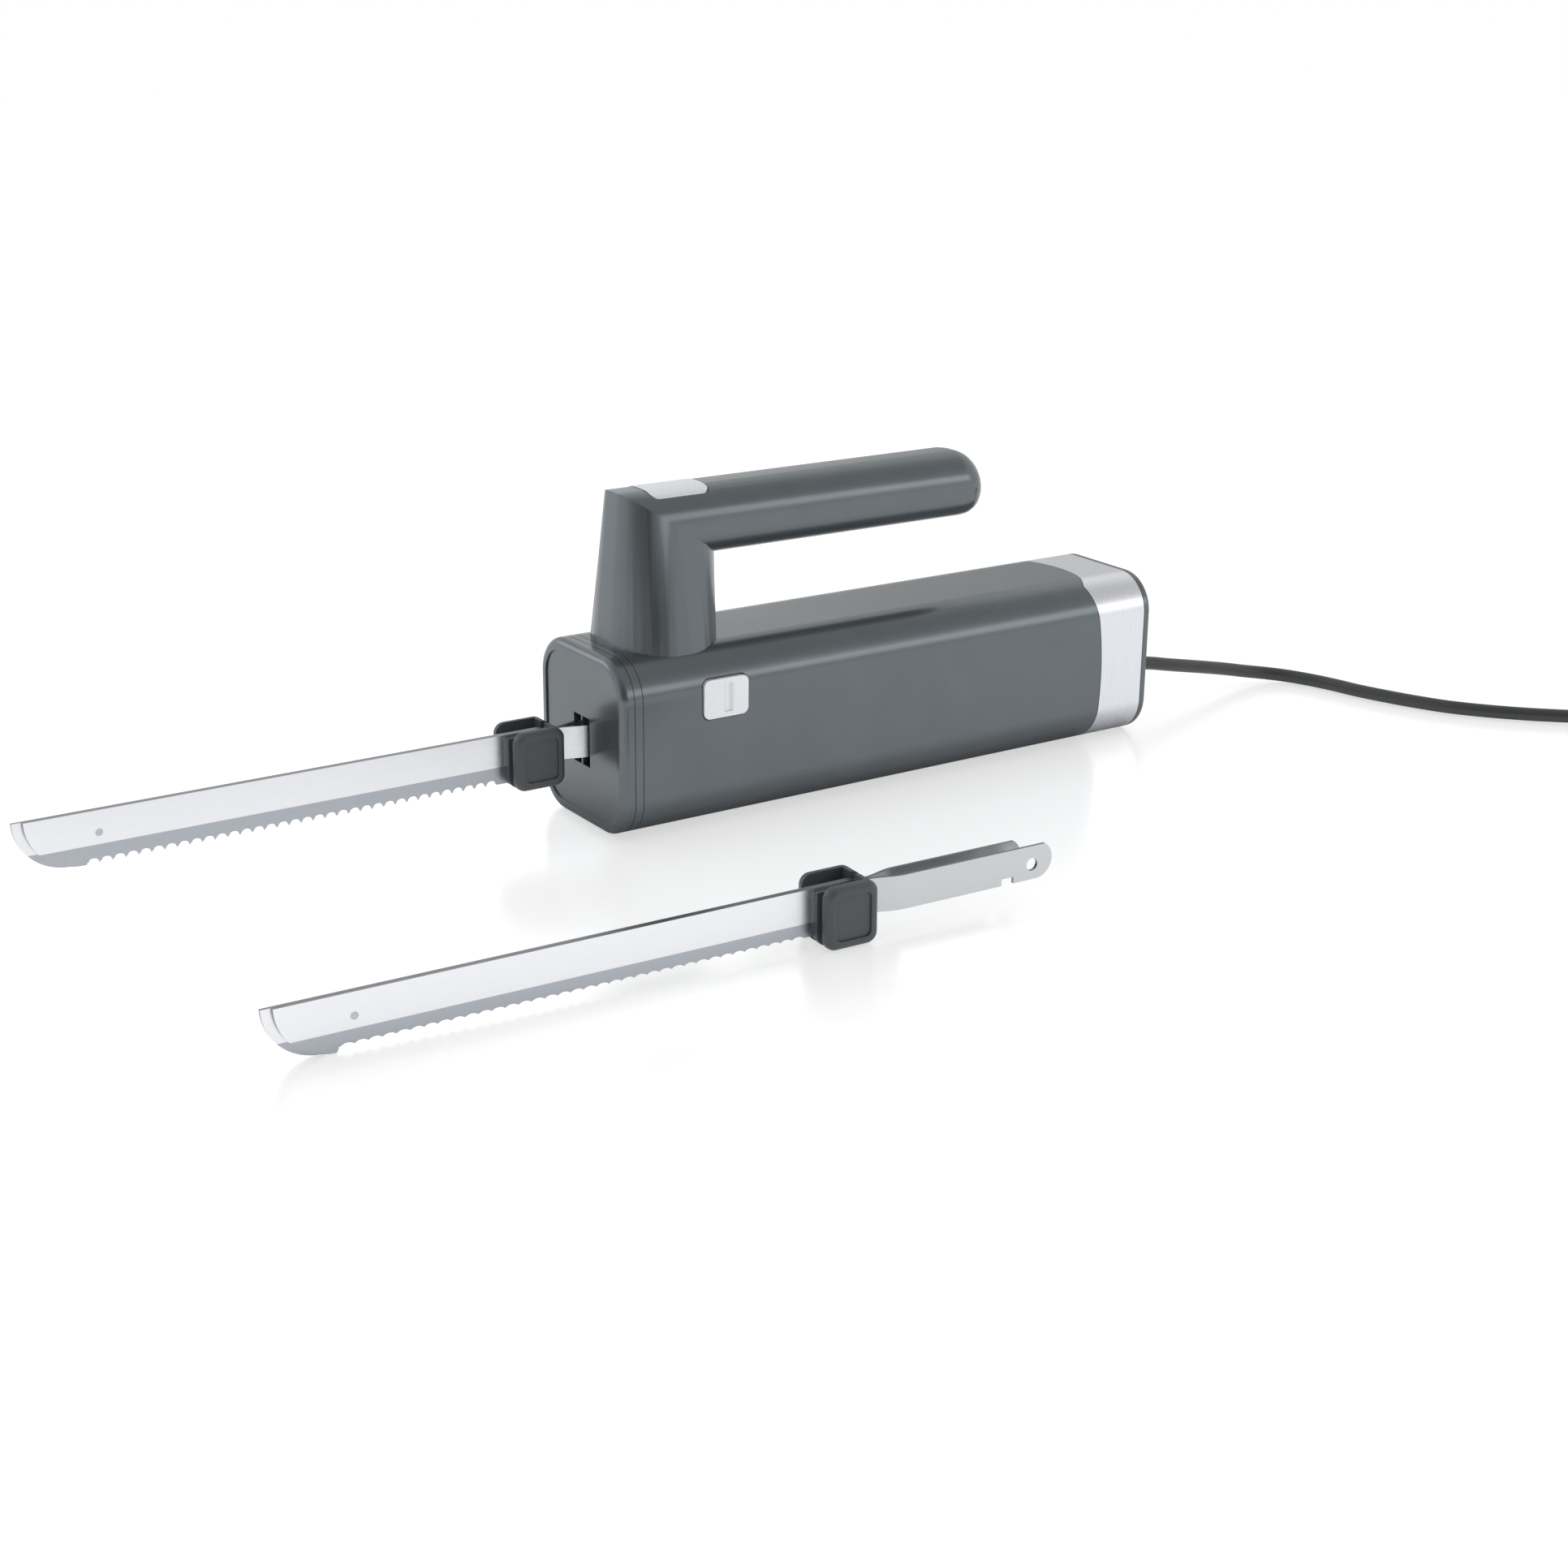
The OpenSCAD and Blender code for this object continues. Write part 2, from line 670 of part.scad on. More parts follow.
module motor_end_bell() {
    x = motor_x + motor_len;
    color(dark)
        difference() {
            union() {
                cyl_x(nx(x), end_bell_len, motor_r, 0, shaft_z);
                cyl_x(nx(x + end_bell_len - eps), 4, 6.5, 0, shaft_z);
            }
            cyl_x(nx(x - 1), end_bell_len - 1.5, commutator_r + 2, 0, shaft_z);
            cyl_x(nx(x - 2), 20, bush_r, 0, shaft_z);
            for (s = [-1, 1])
                block(nx(x - 1), nx(x + 5.5), s < 0 ? -15 : 4, s < 0 ? -4 : 15,
                    shaft_z - 2.2, shaft_z + 2.2);
        }
}
module shaft_bushes() {
    color(brass)
        for (x = [front_bush_x, motor_x - 1, motor_x + motor_len + end_bell_len])
            difference() {
                cyl_x(nx(x), bush_len, bush_r, 0, shaft_z);
                cyl_x(nx(x - 1), bush_len + 2, shaft_r + run_clear, 0, shaft_z);
            }
}
module carbon_brushes() {
    x = motor_x + motor_len;
    color(dark)
        for (s = [-1, 1])
            block(nx(x + 0.2), nx(x + 5.3), s < 0 ? -14.8 : commutator_r + 0.15,
                s < 0 ? -commutator_r - 0.15 : 14.8, shaft_z - 2, shaft_z + 2);
}
module motor_clamp() {
    band = 1.6;
    color(steel)
        for (x = saddle_x)
            difference() {
                union() {
                    cyl_x(nx(x), saddle_t, motor_r + band, 0, shaft_z);
                    block(nx(x), nx(x + saddle_t), -motor_r - band, motor_r + band,
                        shaft_z - 12, shaft_z);
                }
                cyl_x(nx(x - 1), saddle_t + 2, motor_r, 0, shaft_z);
                block(nx(x - 1), nx(x + saddle_t + 1), -30, 30, 0, shaft_z - 6);
            }
}
module motor_shaft() {
    x1 = motor_x + motor_len + end_bell_len + bush_len + 2;
    color(steel)
        cyl_x(nx(front_bush_x - 0.2), x1 - front_bush_x + 0.2, shaft_r, 0, shaft_z);
}
module worm() {
    turns = worm_len / worm_pitch;
    color(brass)
        difference() {
            translate([nx(gear_x - worm_len / 2), 0, shaft_z])
                rotate([0, 90, 0])
                    rotate([0, 0, worm_phase])
                        linear_extrude(worm_len, twist = -360 * turns, slices = ceil(turns * 12))
                            translate([mesh_depth, 0])
                                circle(worm_r, $fn = 18);
            cyl_x(nx(gear_x - worm_len), worm_len * 2, shaft_r, 0, shaft_z);
        }
}
worm_phase = -180 * worm_len / worm_pitch;
module armature_core() {
    color("#8d9093")
        difference() {
            cyl_x(nx(motor_x + 8), 30, armature_r, 0, shaft_z);
            cyl_x(nx(motor_x), 60, shaft_r, 0, shaft_z);
            for (i = [0:slot_count - 1])
                translate([nx(motor_x + 7), 0, shaft_z])
                    rotate([i * 360 / slot_count, 0, 0])
                        translate([0, 0, armature_r - 2.6])
                            rotate([0, 90, 0])
                                cylinder(h = 32, r = 1.9, $fn = 20);
        }
}
module armature_winding() {
    color(copper)
        difference() {
            union() {
                for (x = [motor_x + 3.2, motor_x + 38.1])
                    cyl_x(nx(x), 4.7, armature_r - 1.2, 0, shaft_z);
                for (i = [0:slot_count - 1])
                    translate([nx(motor_x + 7.8), 0, shaft_z])
                        rotate([i * 360 / slot_count, 0, 0])
                            translate([0, 0, armature_r - 2.8])
                                rotate([0, 90, 0])
                                    cylinder(h = 30.4, r = 1.5, $fn = 20);
            }
            cyl_x(nx(motor_x), 60, shaft_r + 0.5, 0, shaft_z);
        }
}
module commutator() {
    color(copper)
        difference() {
            cyl_x(nx(motor_x + 44), 11.2, commutator_r, 0, shaft_z);
            cyl_x(nx(motor_x + 40), 20, shaft_r, 0, shaft_z);
            for (i = [0:slot_count - 1])
                translate([nx(motor_x + 43), 0, shaft_z])
                    rotate([i * 360 / slot_count, 0, 0])
                        translate([0, -0.2, commutator_r - 1])
                            cube([14, 0.4, 2]);
        }
}
module fan() {
    x = motor_x - 9.5;
    color(dark)
        difference() {
            union() {
                cyl_x(nx(x), 7.6, 5, 0, shaft_z);
                cyl_x(nx(x + 6.4), 1.2, fan_r, 0, shaft_z);
                for (i = [0:fan_blades - 1])
                    translate([nx(x), 0, shaft_z])
                        rotate([i * 360 / fan_blades, 0, 0])
                            translate([0, -0.6, 4])
                                cube([6.5, 1.2, fan_r - 4.3]);
            }
            cyl_x(nx(x - 1), 10, shaft_r, 0, shaft_z);
        }
}

// Gear with its two eccentrics, in one moulding
module gear_tooth() {
    polygon([[-0.95, gear_root_r - 0.6], [0.95, gear_root_r - 0.6], [0.72, gear_root_r],
        [0.42, gear_pitch_r], [0.14, gear_tip_r], [-0.14, gear_tip_r],
        [-0.42, gear_pitch_r], [-0.72, gear_root_r]]);
}
module drive_gear() {
    color(nylon)
        translate([nx(gear_x), 0, gear_z])
            difference() {
                union() {
                    along_y(-gear_half, gear_half) {
                        circle(gear_root_r, $fn = fine);
                        for (i = [0:gear_teeth - 1])
                            rotate(i * 360 / gear_teeth)
                                gear_tooth();
                    }
                    cyl_y(-cam_y1, -gear_half + eps, cam_r, 0, cam_offset);
                    cyl_y(gear_half - eps, cam_y1, cam_r, 0, -cam_offset);
                    cyl_y(-tower_y0 + 0.3, tower_y0 - 0.3, axle_r + 1.5);
                }
                cyl_y(-20, 20, axle_r + run_clear);
            }
}

// Blade carriers: a channel for the tang, a web, and a yoke round the eccentric.
// Drawn for the side at plus Y; the left one is its mirror image with a longer channel.
module carrier(len) {
    channel_end = len + slide_clear;
    slot0 = tang_y - blade_t / 2 - tang_clear;
    slot1 = tang_y + blade_t / 2 + tang_clear;
    web_x = 57;
    ear_z = latch_pivot_z - 4.2;
    color(nylon)
        difference() {
            union() {
                block(nx(carrier_x0), nx(max(channel_end, web_x) + 2), carrier_y0, carrier_y1,
                    carrier_z0, carrier_z1);
                block(nx(web_x), nx(gear_x - yoke_half_x + 1), carrier_y1 - eps, yoke_y1,
                    gear_z - yoke_half_z + 1, carrier_z1);
                block(nx(web_x), nx(web_x + 7), carrier_y1 - eps, yoke_y1, carrier_z0,
                    carrier_z1);
                block(nx(gear_x - yoke_half_x), nx(gear_x + yoke_half_x), yoke_y0, yoke_y1,
                    gear_z - yoke_half_z, gear_z + yoke_half_z);
                block(nx(notch_x - 5), nx(notch_x + 5), carrier_y1 - eps,
                    latch_pivot_y + 2.5, ear_z, ear_z + 1.2);
                for (x = [notch_x - 5, notch_x + 3]) {
                    block(nx(x), nx(x + 2), carrier_y1 - 2, carrier_y1 + 1.2, ear_z,
                        carrier_z0 + eps);
                    block(nx(x), nx(x + 2), latch_pivot_y - 2.5, latch_pivot_y + 2.5, ear_z,
                        latch_pivot_z + 2.5);
                }
            }
            block(nx(carrier_x0 - 1), nx(channel_end), slot0, slot1, tang_z - tang_clear,
                tang_z + tang_h + tang_clear);
            block(nx(notch_x - latch_w / 2 - 0.6), nx(notch_x + latch_w / 2 + 0.6), 0, 8,
                carrier_z0 - 1, tang_z + 0.5);
            block(nx(gear_x - cam_r - yoke_clear), nx(gear_x + cam_r + yoke_clear),
                yoke_y0 - 1, yoke_y1 + 1, gear_z - cam_r - cam_offset - yoke_clear,
                gear_z + cam_r + cam_offset + yoke_clear);
            cyl_x(nx(notch_x - 6), 12, latch_pin_r, latch_pivot_y, latch_pivot_z, small);
        }
}
module carrier_left() {
    mirror([0, 1, 0])
        carrier(tang_len);
}
module carrier_right() {
    carrier(tang_len - tang_short);
}
module latch_pin() {
    color(steel)
        cyl_x(nx(notch_x - 5), 10, latch_pin_r, latch_pivot_y, latch_pivot_z, small);
}
module latch_pin_left() {
    mirror([0, 1, 0])
        latch_pin();
}
module latch_pin_right() {
    latch_pin();
}
// Bell crank from the release button's pusher to the notch in the tang
module latch() {
    arm_y0 = latch_pivot_y + 0.6;
    arm_y1 = arm_y0 + latch_arm_t;
    nose_top = tang_z - slide_clear;
    x0 = nx(notch_x - latch_w / 2);
    color(light_grey)
        difference() {
            union() {
                cyl_x(x0, latch_w, 2.3, latch_pivot_y, latch_pivot_z, small);
                block(x0, x0 + latch_w, arm_y0, arm_y1, latch_pivot_z, button_z + 2);
                block(x0, x0 + latch_w, tang_y - 0.7, latch_pivot_y, latch_pivot_z,
                    latch_pivot_z + 1.7);
                block(x0, x0 + latch_w, tang_y - 0.7, tang_y + 0.7, latch_pivot_z,
                    nose_top);
            }
            cyl_x(x0 - 1, latch_w + 2, latch_pin_r + run_clear, latch_pivot_y, latch_pivot_z,
                small);
        }
}
module latch_left() {
    mirror([0, 1, 0])
        latch();
}
module latch_right() {
    latch();
}

// Release buttons
module release_button() {
    face_y = body_w / 2 + button_proud;
    flange_y = inner_w / 2 - 0.3;
    groove_x = button_x + 1.1;
    color(light_grey)
        difference() {
            union() {
                along_y(flange_y - 1.5, face_y)
                    translate([nx(button_x), button_z])
                        rounded_rect(button_len, button_h, button_r);
                intersection() {
                    along_y(flange_y - 1.5, flange_y)
                        translate([nx(button_x), button_z])
                            rounded_rect(button_len + 3, button_h + 3, button_r + 1.5);
                    body_prism(button_x - button_len, button_x + button_len, wall + 0.3);
                }
                cyl_y(pusher_y, flange_y, stem_r, nx(button_x), button_z, small);
                block(nx(button_x - 7.5), nx(button_x + 7.5), pusher_y, pusher_y + 2,
                    button_z - 2.5, button_z + 2.5);
            }
            translate([nx(groove_x), face_y + 2.4, button_z - button_h / 2 + 1.8])
                cylinder(h = button_h - 3.6, r = 3.1, $fn = small);
        }
}
module release_button_left() {
    mirror([0, 1, 0])
        release_button();
}
module release_button_right() {
    release_button();
}
module release_spring() {
    flange_y = inner_w / 2 - 1.8;
    color(steel)
        translate([nx(button_x), flange_y, button_z])
            rotate([90, 0, 0])
                spring(3, flange_y - guide_y, 3.6, 0.35);
}
module release_spring_left() {
    mirror([0, 1, 0])
        release_spring();
}
module release_spring_right() {
    release_spring();
}

// Handle
holder_z = grip_top - 14;
holder_t = 1.6;
stem_hole_r = 2.7;
key_mid = key_x + key_len / 2;
key_seat = grip_top - 4.4;
key_flange = grip_w / 2 - grip_r + 1.2;
cover_x0 = 62;
cover_x1 = 158;
cover_w = 15;
cover_t = 2;
cover_screws = [cover_x0 + 8, cover_x1 - 8];
module key_outline(grow) {
    translate([nx(key_mid), 0, grip_top - 31.5])
        linear_extrude(60)
            rounded_rect(key_len + 2 * grow, key_w + 2 * grow, 3 + grow);
}
module handle_shell() {
    color(slate)
        difference() {
            union() {
                difference() {
                    handle_form(0);
                    handle_form(grip_wall);
                }
                for (p = foot_screws)
                    translate([p[0], p[1], body_h - 2])
                        cylinder(h = 13, r = 4, $fn = small);
                for (d = cover_screws)
                    translate([nx(d), 0, grip_bot + 1])
                        cylinder(h = 8, r = 3.2, $fn = small);
            }
            for (d = cover_screws)
                translate([nx(d), 0, grip_bot - 1])
                    cylinder(h = 9, r = 1.5, $fn = small);
            for (p = foot_screws)
                translate([p[0], p[1], body_h - 3])
                    cylinder(h = 12, r = 1.3, $fn = small);
            body_prism(0, 80, 0);
            intersection() {
                key_outline(0.4);
                block(nx(0), nx(80), -30, 30, grip_top - 12, grip_top + 5);
            }
            block(nx(cover_x0), nx(cover_x1), -cover_w / 2, cover_w / 2, grip_bot - 1,
                grip_bot + cover_t);
        }
}
module grip_cover() {
    color(slate)
        difference() {
            intersection() {
                handle_form(0);
                block(nx(cover_x0 + 0.15), nx(cover_x1 - 0.15), -cover_w / 2 + 0.15,
                    cover_w / 2 - 0.15, grip_bot - 1, grip_bot + cover_t);
            }
            for (d = cover_screws)
                translate([nx(d), 0, grip_bot - 1])
                    cylinder(h = 4, r = 1.5, $fn = small);
        }
}
module on_switch() {
    color(light_grey) {
        intersection() {
            difference() {
                handle_form(-0.25);
                handle_form(2.2);
            }
            intersection() {
                key_outline(0);
                block(nx(0), nx(80), -30, 30, grip_top - 11, grip_top + 5);
            }
        }
        block(nx(key_x - 1.8), nx(key_x + key_len + 1.8), -key_flange, key_flange, key_seat,
            grip_top - grip_wall - 0.15);
        block(nx(key_x + 2), nx(key_x + key_len - 2), -6.5, 6.5, key_seat + eps,
            grip_top - 2);
        translate([nx(key_mid), 0, holder_z + 0.4])
            cylinder(h = key_seat - holder_z, r = 1.4, $fn = small);
        translate([nx(key_mid), 0, holder_z + key_travel + 0.3])
            cylinder(h = key_seat - holder_z - key_travel - 0.2, r = 2.4, $fn = small);
    }
}
module key_spring() {
    z1 = key_seat;
    z0 = holder_z + holder_t;
    color(steel)
        translate([nx(key_mid), 0, z0])
            spring(5, z1 - z0, 3.7, 0.4);
}
module switch_holder() {
    color(nylon)
        difference() {
            intersection() {
                handle_form(grip_wall + 0.05);
                block(nx(0), nx(70), -30, 30, holder_z, holder_z + holder_t);
            }
            translate([nx(key_mid), 0, holder_z - 1])
                cylinder(h = 4, r = stem_hole_r, $fn = small);
        }
}
module micro_switch() {
    color(dark)
        difference() {
            block(nx(key_mid - 10), nx(key_mid + 10), -3.3, 3.3, holder_z - 11, holder_z);
            translate([nx(key_mid), 0, holder_z - 6])
                cylinder(h = 7, r = 1.6, $fn = small);
        }
    color(brass)
        for (x = [-7, 0, 7])
            block(nx(key_mid + x - 1.2), nx(key_mid + x + 1.2), -0.3, 0.3, holder_z - 16,
                holder_z - 11);
}
module switch_plunger() {
    color("#b33a2e")
        translate([nx(key_mid), 0, holder_z - 3.6])
            cylinder(h = 3.7, r = 1.5, $fn = small);
}
module handle_screws() {
    color(steel) {
        for (p = foot_screws)
            translate([p[0], p[1], 0]) {
                translate([0, 0, inner_h + wall - 1.8])
                    cylinder(h = 1.8, r = 2.8, $fn = small);
                translate([0, 0, inner_h + wall - 0.5])
                    cylinder(h = 8.5, r = 1.25, $fn = small);
            }
        for (d = cover_screws)
            translate([nx(d), 0, grip_bot - 0.05])
                cylinder(h = 7, r = 1.45, $fn = small);
    }
}

// Electrics and cord
module circuit_board() {
    color(board_green)
        block(nx(board_x0), nx(board_x1), -19, 19, board_z, board_z + 1.6);
}
module board_parts() {
    z = board_z + 1.6;
    color(dark) {
        block(nx(board_x0 + 4), nx(board_x0 + 12), -12, 3, z, z + 11);
        translate([nx(board_x0 + 22), -9, z])
            cylinder(h = 16, r = 5, $fn = small);
        block(nx(board_x0 + 17), nx(board_x0 + 29), 4, 16, z, z + 9);
    }
    color(light_grey)
        block(nx(board_x1 - 5), nx(board_x1 - 1), -8, 8, z, z + 7);
}
module cord_clamp() {
    x = rear_x - 14;
    base = wall + fit + 2;
    color(nylon)
        difference() {
            union() {
                block(nx(x), nx(x + 8), -11, 11, base, exit_z + 6);
            }
            cyl_x(nx(x - 1), 10, cord_r + 0.05, 0, exit_z, small);
        }
}
module housing_screws() {
    color(steel)
        for (p = under_screws)
            translate([p[0], p[1], 0]) {
                translate([0, 0, 0.2])
                    cylinder(h = 1.1, r = 2.9, $fn = small);
                translate([0, 0, 1])
                    cylinder(h = 9, r = 1.45, $fn = small);
            }
}
module cord_boot() {
    inside = 6.5;
    x0 = nx(body_len);
    color(dark)
        difference() {
            translate([x0 - inside, 0, exit_z])
                rotate([0, 90, 0])
                    rotate_extrude($fn = small)
                        polygon([[0, 0], [6.2, 0], [6.2, 2.5], [boot_hole_r - 0.1, 2.5],
                            [boot_hole_r - 0.1, inside], [cord_r + 1.6, inside + 1],
                            [cord_r + 0.8, inside + boot_out], [0, inside + boot_out]]);
            cyl_x(x0 - inside - 1, inside + boot_out + 2, cord_r + 0.05, 0, exit_z, small);
            for (i = [0:2])
                for (s = [-1, 1])
                    block(x0 + 3 + 3.2 * i, x0 + 4.2 + 3.2 * i, -6, 6,
                        exit_z + (s > 0 ? 3.3 : -8), exit_z + (s > 0 ? 8 : -3.3));
        }
}
module cord() {
    color(dark)
        tube(cord_route, cord_r, 8);
}
// Centre line of the coil: in along the table, half a turn up, then out on top
function coil_radius(a) =
    a < layer_turns ? coil_r - coil_pitch * a
    : a < layer_turns + 0.5 ?
        coil_r - coil_pitch * layer_turns - coil_dip * sin(360 * (a - layer_turns))
    : coil_r - coil_pitch * (2 * layer_turns + 0.5 - a);
function coil_height(a) = coil_z0 + coil_pitch * min(1, max(0, (a - layer_turns) * 2));
function coil_point(a) = [
    coil_centre[0] + coil_radius(a) * cos(coil_start + 360 * a),
    coil_centre[1] + coil_radius(a) * sin(coil_start + 360 * a), coil_height(a)];
coil_total = 2 * layer_turns + 0.5;
coil_path = concat([cord_route[len(cord_route) - 1]],
    [for (i = [0:coil_total * 24]) coil_point(i / 24)], tail_route);
coil_free = min([for (i = [0:len(coil_path) - 10], j = [i + 9:len(coil_path) - 1])
    norm(coil_path[i] - coil_path[j])]) - cord_d;
echo("least gap of the coil to itself", coil_free);
module cord_coil() {
    color(dark)
        tube(coil_path, cord_r, 6);
}
module coil_tie() {
    tie_angle = -68;
    width = 8;
    r0 = 23.2;
    r1 = 43.2;
    top = coil_z0 + coil_pitch + cord_r + 0.2;
    color(dark)
        translate([coil_centre[0], coil_centre[1], 0])
            rotate([0, 0, tie_angle])
                translate([(r0 + r1) / 2, width / 2, (top + tie_t) / 2])
                    rotate([90, 0, 0])
                        linear_extrude(width)
                            difference() {
                                rounded_rect(r1 - r0 + 2 * tie_t, top + tie_t, 3 + tie_t);
                                rounded_rect(r1 - r0, top - tie_t, 3);
                            }
}
plug_len = 34;
module plug_body() {
    p = tail_route[5];
    color(dark)
        translate([p[0], p[1], p[2]])
            rotate([-90, 0, 0])
                difference() {
                    union() {
                        linear_extrude(plug_len)
                            rounded_rect(14, 13.2, 5);
                        translate([0, 0, 10])
                            linear_extrude(plug_len - 10)
                                rounded_rect(26, 13.2, 6);
                    }
                    for (s = [-1, 1])
                        translate([s * 19, 0, 16])
                            rotate([90, 0, 0])
                                cylinder(h = 20, r = 9, center = true, $fn = small);
                }
}
module plug_pins() {
    p = tail_route[5];
    color(steel)
        for (s = [-1, 1])
            cyl_y(p[1] + plug_len, p[1] + plug_len + 19, 2, p[0] + s * 9.25, p[2], small);
}

// Blades, drawn for the side at plus Y
function tang_bend(d) =
    let (u = min(1, max(0, (d + 11) / 13)), s = u * u * (3 - 2 * u), y0 = (blade_gap + blade_t) / 2)
    y0 + (tang_y - y0) * s;
module blade(tip, tang_end, depth, step) {
    y0 = blade_gap / 2;
    heel = -guard_gap - 2;
    top = edge_z + blade_h;
    first = -tip + belly_len;
    teeth = floor((-guard_gap - guard_len - first) / tooth_pitch);
    gullet_r = (pow(tooth_pitch / 2, 2) + depth * depth) / (2 * depth);
    bend = [for (i = [0:12]) -14 + 18 * i / 12];
    strip = concat([heel - 14], bend, [tang_end]);
    edge = edge_z + step;
    difference() {
        union() {
            along_y(y0, y0 + blade_t)
                union() {
                    intersection() {
                        translate([nx(-tip + tip_r), top])
                            circle(tip_r, $fn = fine);
                        translate([nx(-tip), edge_z])
                            square([tip_r + eps, blade_h]);
                    }
                    translate([nx(-tip + tip_r), edge_z])
                        square([tip - tip_r + heel, blade_h]);
                }
            intersection() {
                translate([0, 0, tang_z])
                    linear_extrude(tang_h)
                        polygon(concat(
                            [for (d = strip) [nx(d), tang_bend(d) - blade_t / 2]],
                            [for (i = [len(strip) - 1:-1:0])
                                [nx(strip[i]), tang_bend(strip[i]) + blade_t / 2]]));
                along_y(-1, 8)
                    union() {
                        translate([nx(heel - 14), tang_z])
                            square([tang_end - heel + 14 - tang_h * 0.7, tang_h]);
                        translate([nx(tang_end - tang_h * 0.55), tang_z + tang_h * 0.55])
                            circle(tang_h * 0.55, $fn = fine);
                        translate([nx(tang_end - tang_h * 0.75), tang_z + tang_h * 0.5])
                            circle(tang_h * 0.5, $fn = fine);
                    }
            }
        }
        translate([nx(-tip - 5), y0 + blade_t, edge_z + bevel_h])
            rotate([atan((blade_t - edge_t) / bevel_h), 0, 0])
                translate([0, 0, -bevel_h - 5])
                    cube([tip + heel + 25, 5, bevel_h + 5]);
        if (step > 0)
            block(nx(first - 0.5), nx(-guard_gap - guard_len + 1), -1, 3, edge_z - 1, edge);
        for (i = [0:teeth - 1])
            cyl_y(-1, 3, gullet_r, nx(first + tooth_pitch * (i + 0.5)),
                edge + depth - gullet_r, small);
        cyl_y(-1, 8, tang_hole_r, nx(tang_end - 8.2), tang_z + tang_h * 0.45, small);
        block(nx(notch_x - notch_w / 2), nx(notch_x + notch_w / 2), 1, 8, tang_z - 1,
            tang_z + notch_h);
    }
}
// Finger guard moulded on the blade: a flange, a web at the nose side and a padded plate
module guard() {
    y0 = blade_gap / 2 + blade_t;
    mid_z = edge_z + blade_h / 2;
    low = mid_z - guard_h / 2;
    front = nx(-guard_gap - guard_len);
    back = nx(-guard_gap);
    color(guard_grey)
        difference() {
            union() {
                translate([(front + back) / 2, y0, mid_z])
                    rotate([-90, 0, 0])
                        soft_slab(guard_len, guard_h, guard_r, guard_y - y0, guard_edge);
                block(front + 3, back - 3, blade_gap / 2 + 0.05, y0 + eps, low + 0.4,
                    edge_z - 0.1);
            }
            block(front - 1, back - web_len, y0 + flange_t, guard_y - plate_t, low - 1,
                low + guard_h + 1);
            block(front - 1, back - web_len, y0 - 1, y0 + flange_t + eps,
                edge_z + blade_h - 1, low + guard_h + 1);
            along_y(guard_y - pad_depth, guard_y + 1)
                translate([(front + back) / 2, mid_z])
                    rounded_rect(guard_len - 2 * pad_margin, guard_h - 2 * pad_margin,
                        guard_r - 2);
        }
}
module rivet(tip) {
    x = nx(-tip + rivet_from_tip);
    y0 = blade_gap / 2;
    color("#b9bcc1") {
        cyl_y(-y0 - blade_t, y0 + blade_t + 0.1, rivet_r, x, rivet_z, small);
        cyl_y(y0 + blade_t + 0.1, y0 + blade_t + 0.8, rivet_r + 0.9, x, rivet_z, small);
    }
}
rivet_z = 31.4;
rivet_slot = 18.6;
tip_r = blade_h;
module left_blade(tip, depth, step) {
    color(steel)
        mirror([0, 1, 0])
            difference() {
                blade(tip, tang_len, depth, step);
                cyl_y(-1, 3, rivet_r, nx(-tip + rivet_from_tip), rivet_z, small);
            }
}
module right_blade(tip, depth, step) {
    x = nx(-tip + rivet_from_tip);
    color(steel)
        difference() {
            blade(tip + right_extra, tang_len - tang_short, depth, step);
            along_y(-1, 3)
                union() {
                    translate([x, rivet_z])
                        square([rivet_slot, 2 * rivet_r + 0.3], center = true);
                    for (s = [-1, 1])
                        translate([x + s * rivet_slot / 2, rivet_z])
                            circle(rivet_r + 0.15, $fn = small);
                    translate([x + rivet_slot / 2 + 1.6, rivet_z])
                        circle(rivet_r + 1.1, $fn = small);
                }
        }
}
module blade_left() {
    left_blade(blade_reach, tooth_depth, 0);
}
module blade_right() {
    right_blade(blade_reach, tooth_depth, 0);
}
module blade_rivet() {
    rivet(blade_reach);
}
module guard_left() {
    mirror([0, 1, 0])
        guard();
}
module guard_right() {
    guard();
}

// The spare pair stands on its guards and its belly, in front of the body
spare_place = [-108.5, -142.3];
spare_yaw = -2.87;
spare_reach = blade_reach + spare_extra;
guard_low = edge_z + blade_h / 2 - guard_h / 2;
guard_foot_x = -guard_gap - guard_len + guard_r;
spare_tilt = atan((edge_z - guard_low) / (spare_reach + right_extra - blade_h + guard_foot_x));
module spare() {
    pivot_x = guard_foot_x;
    mid = -guard_gap - guard_len / 2;
    translate([spare_place[0], spare_place[1], 0])
        rotate([0, 0, spare_yaw])
            translate([pivot_x - mid, 0, 0])
                rotate([0, -spare_tilt, 0])
                    translate([-nx(pivot_x), 0, -guard_low])
                        children();
}
module spare_blade_left() {
    spare()
        left_blade(spare_reach, spare_tooth_depth, spare_step);
}
module spare_blade_right() {
    spare()
        right_blade(spare_reach, spare_tooth_depth, spare_step);
}
module spare_guard_left() {
    spare()
        guard_left();
}
module spare_guard_right() {
    spare()
        guard_right();
}
module spare_rivet() {
    spare()
        rivet(spare_reach);
}

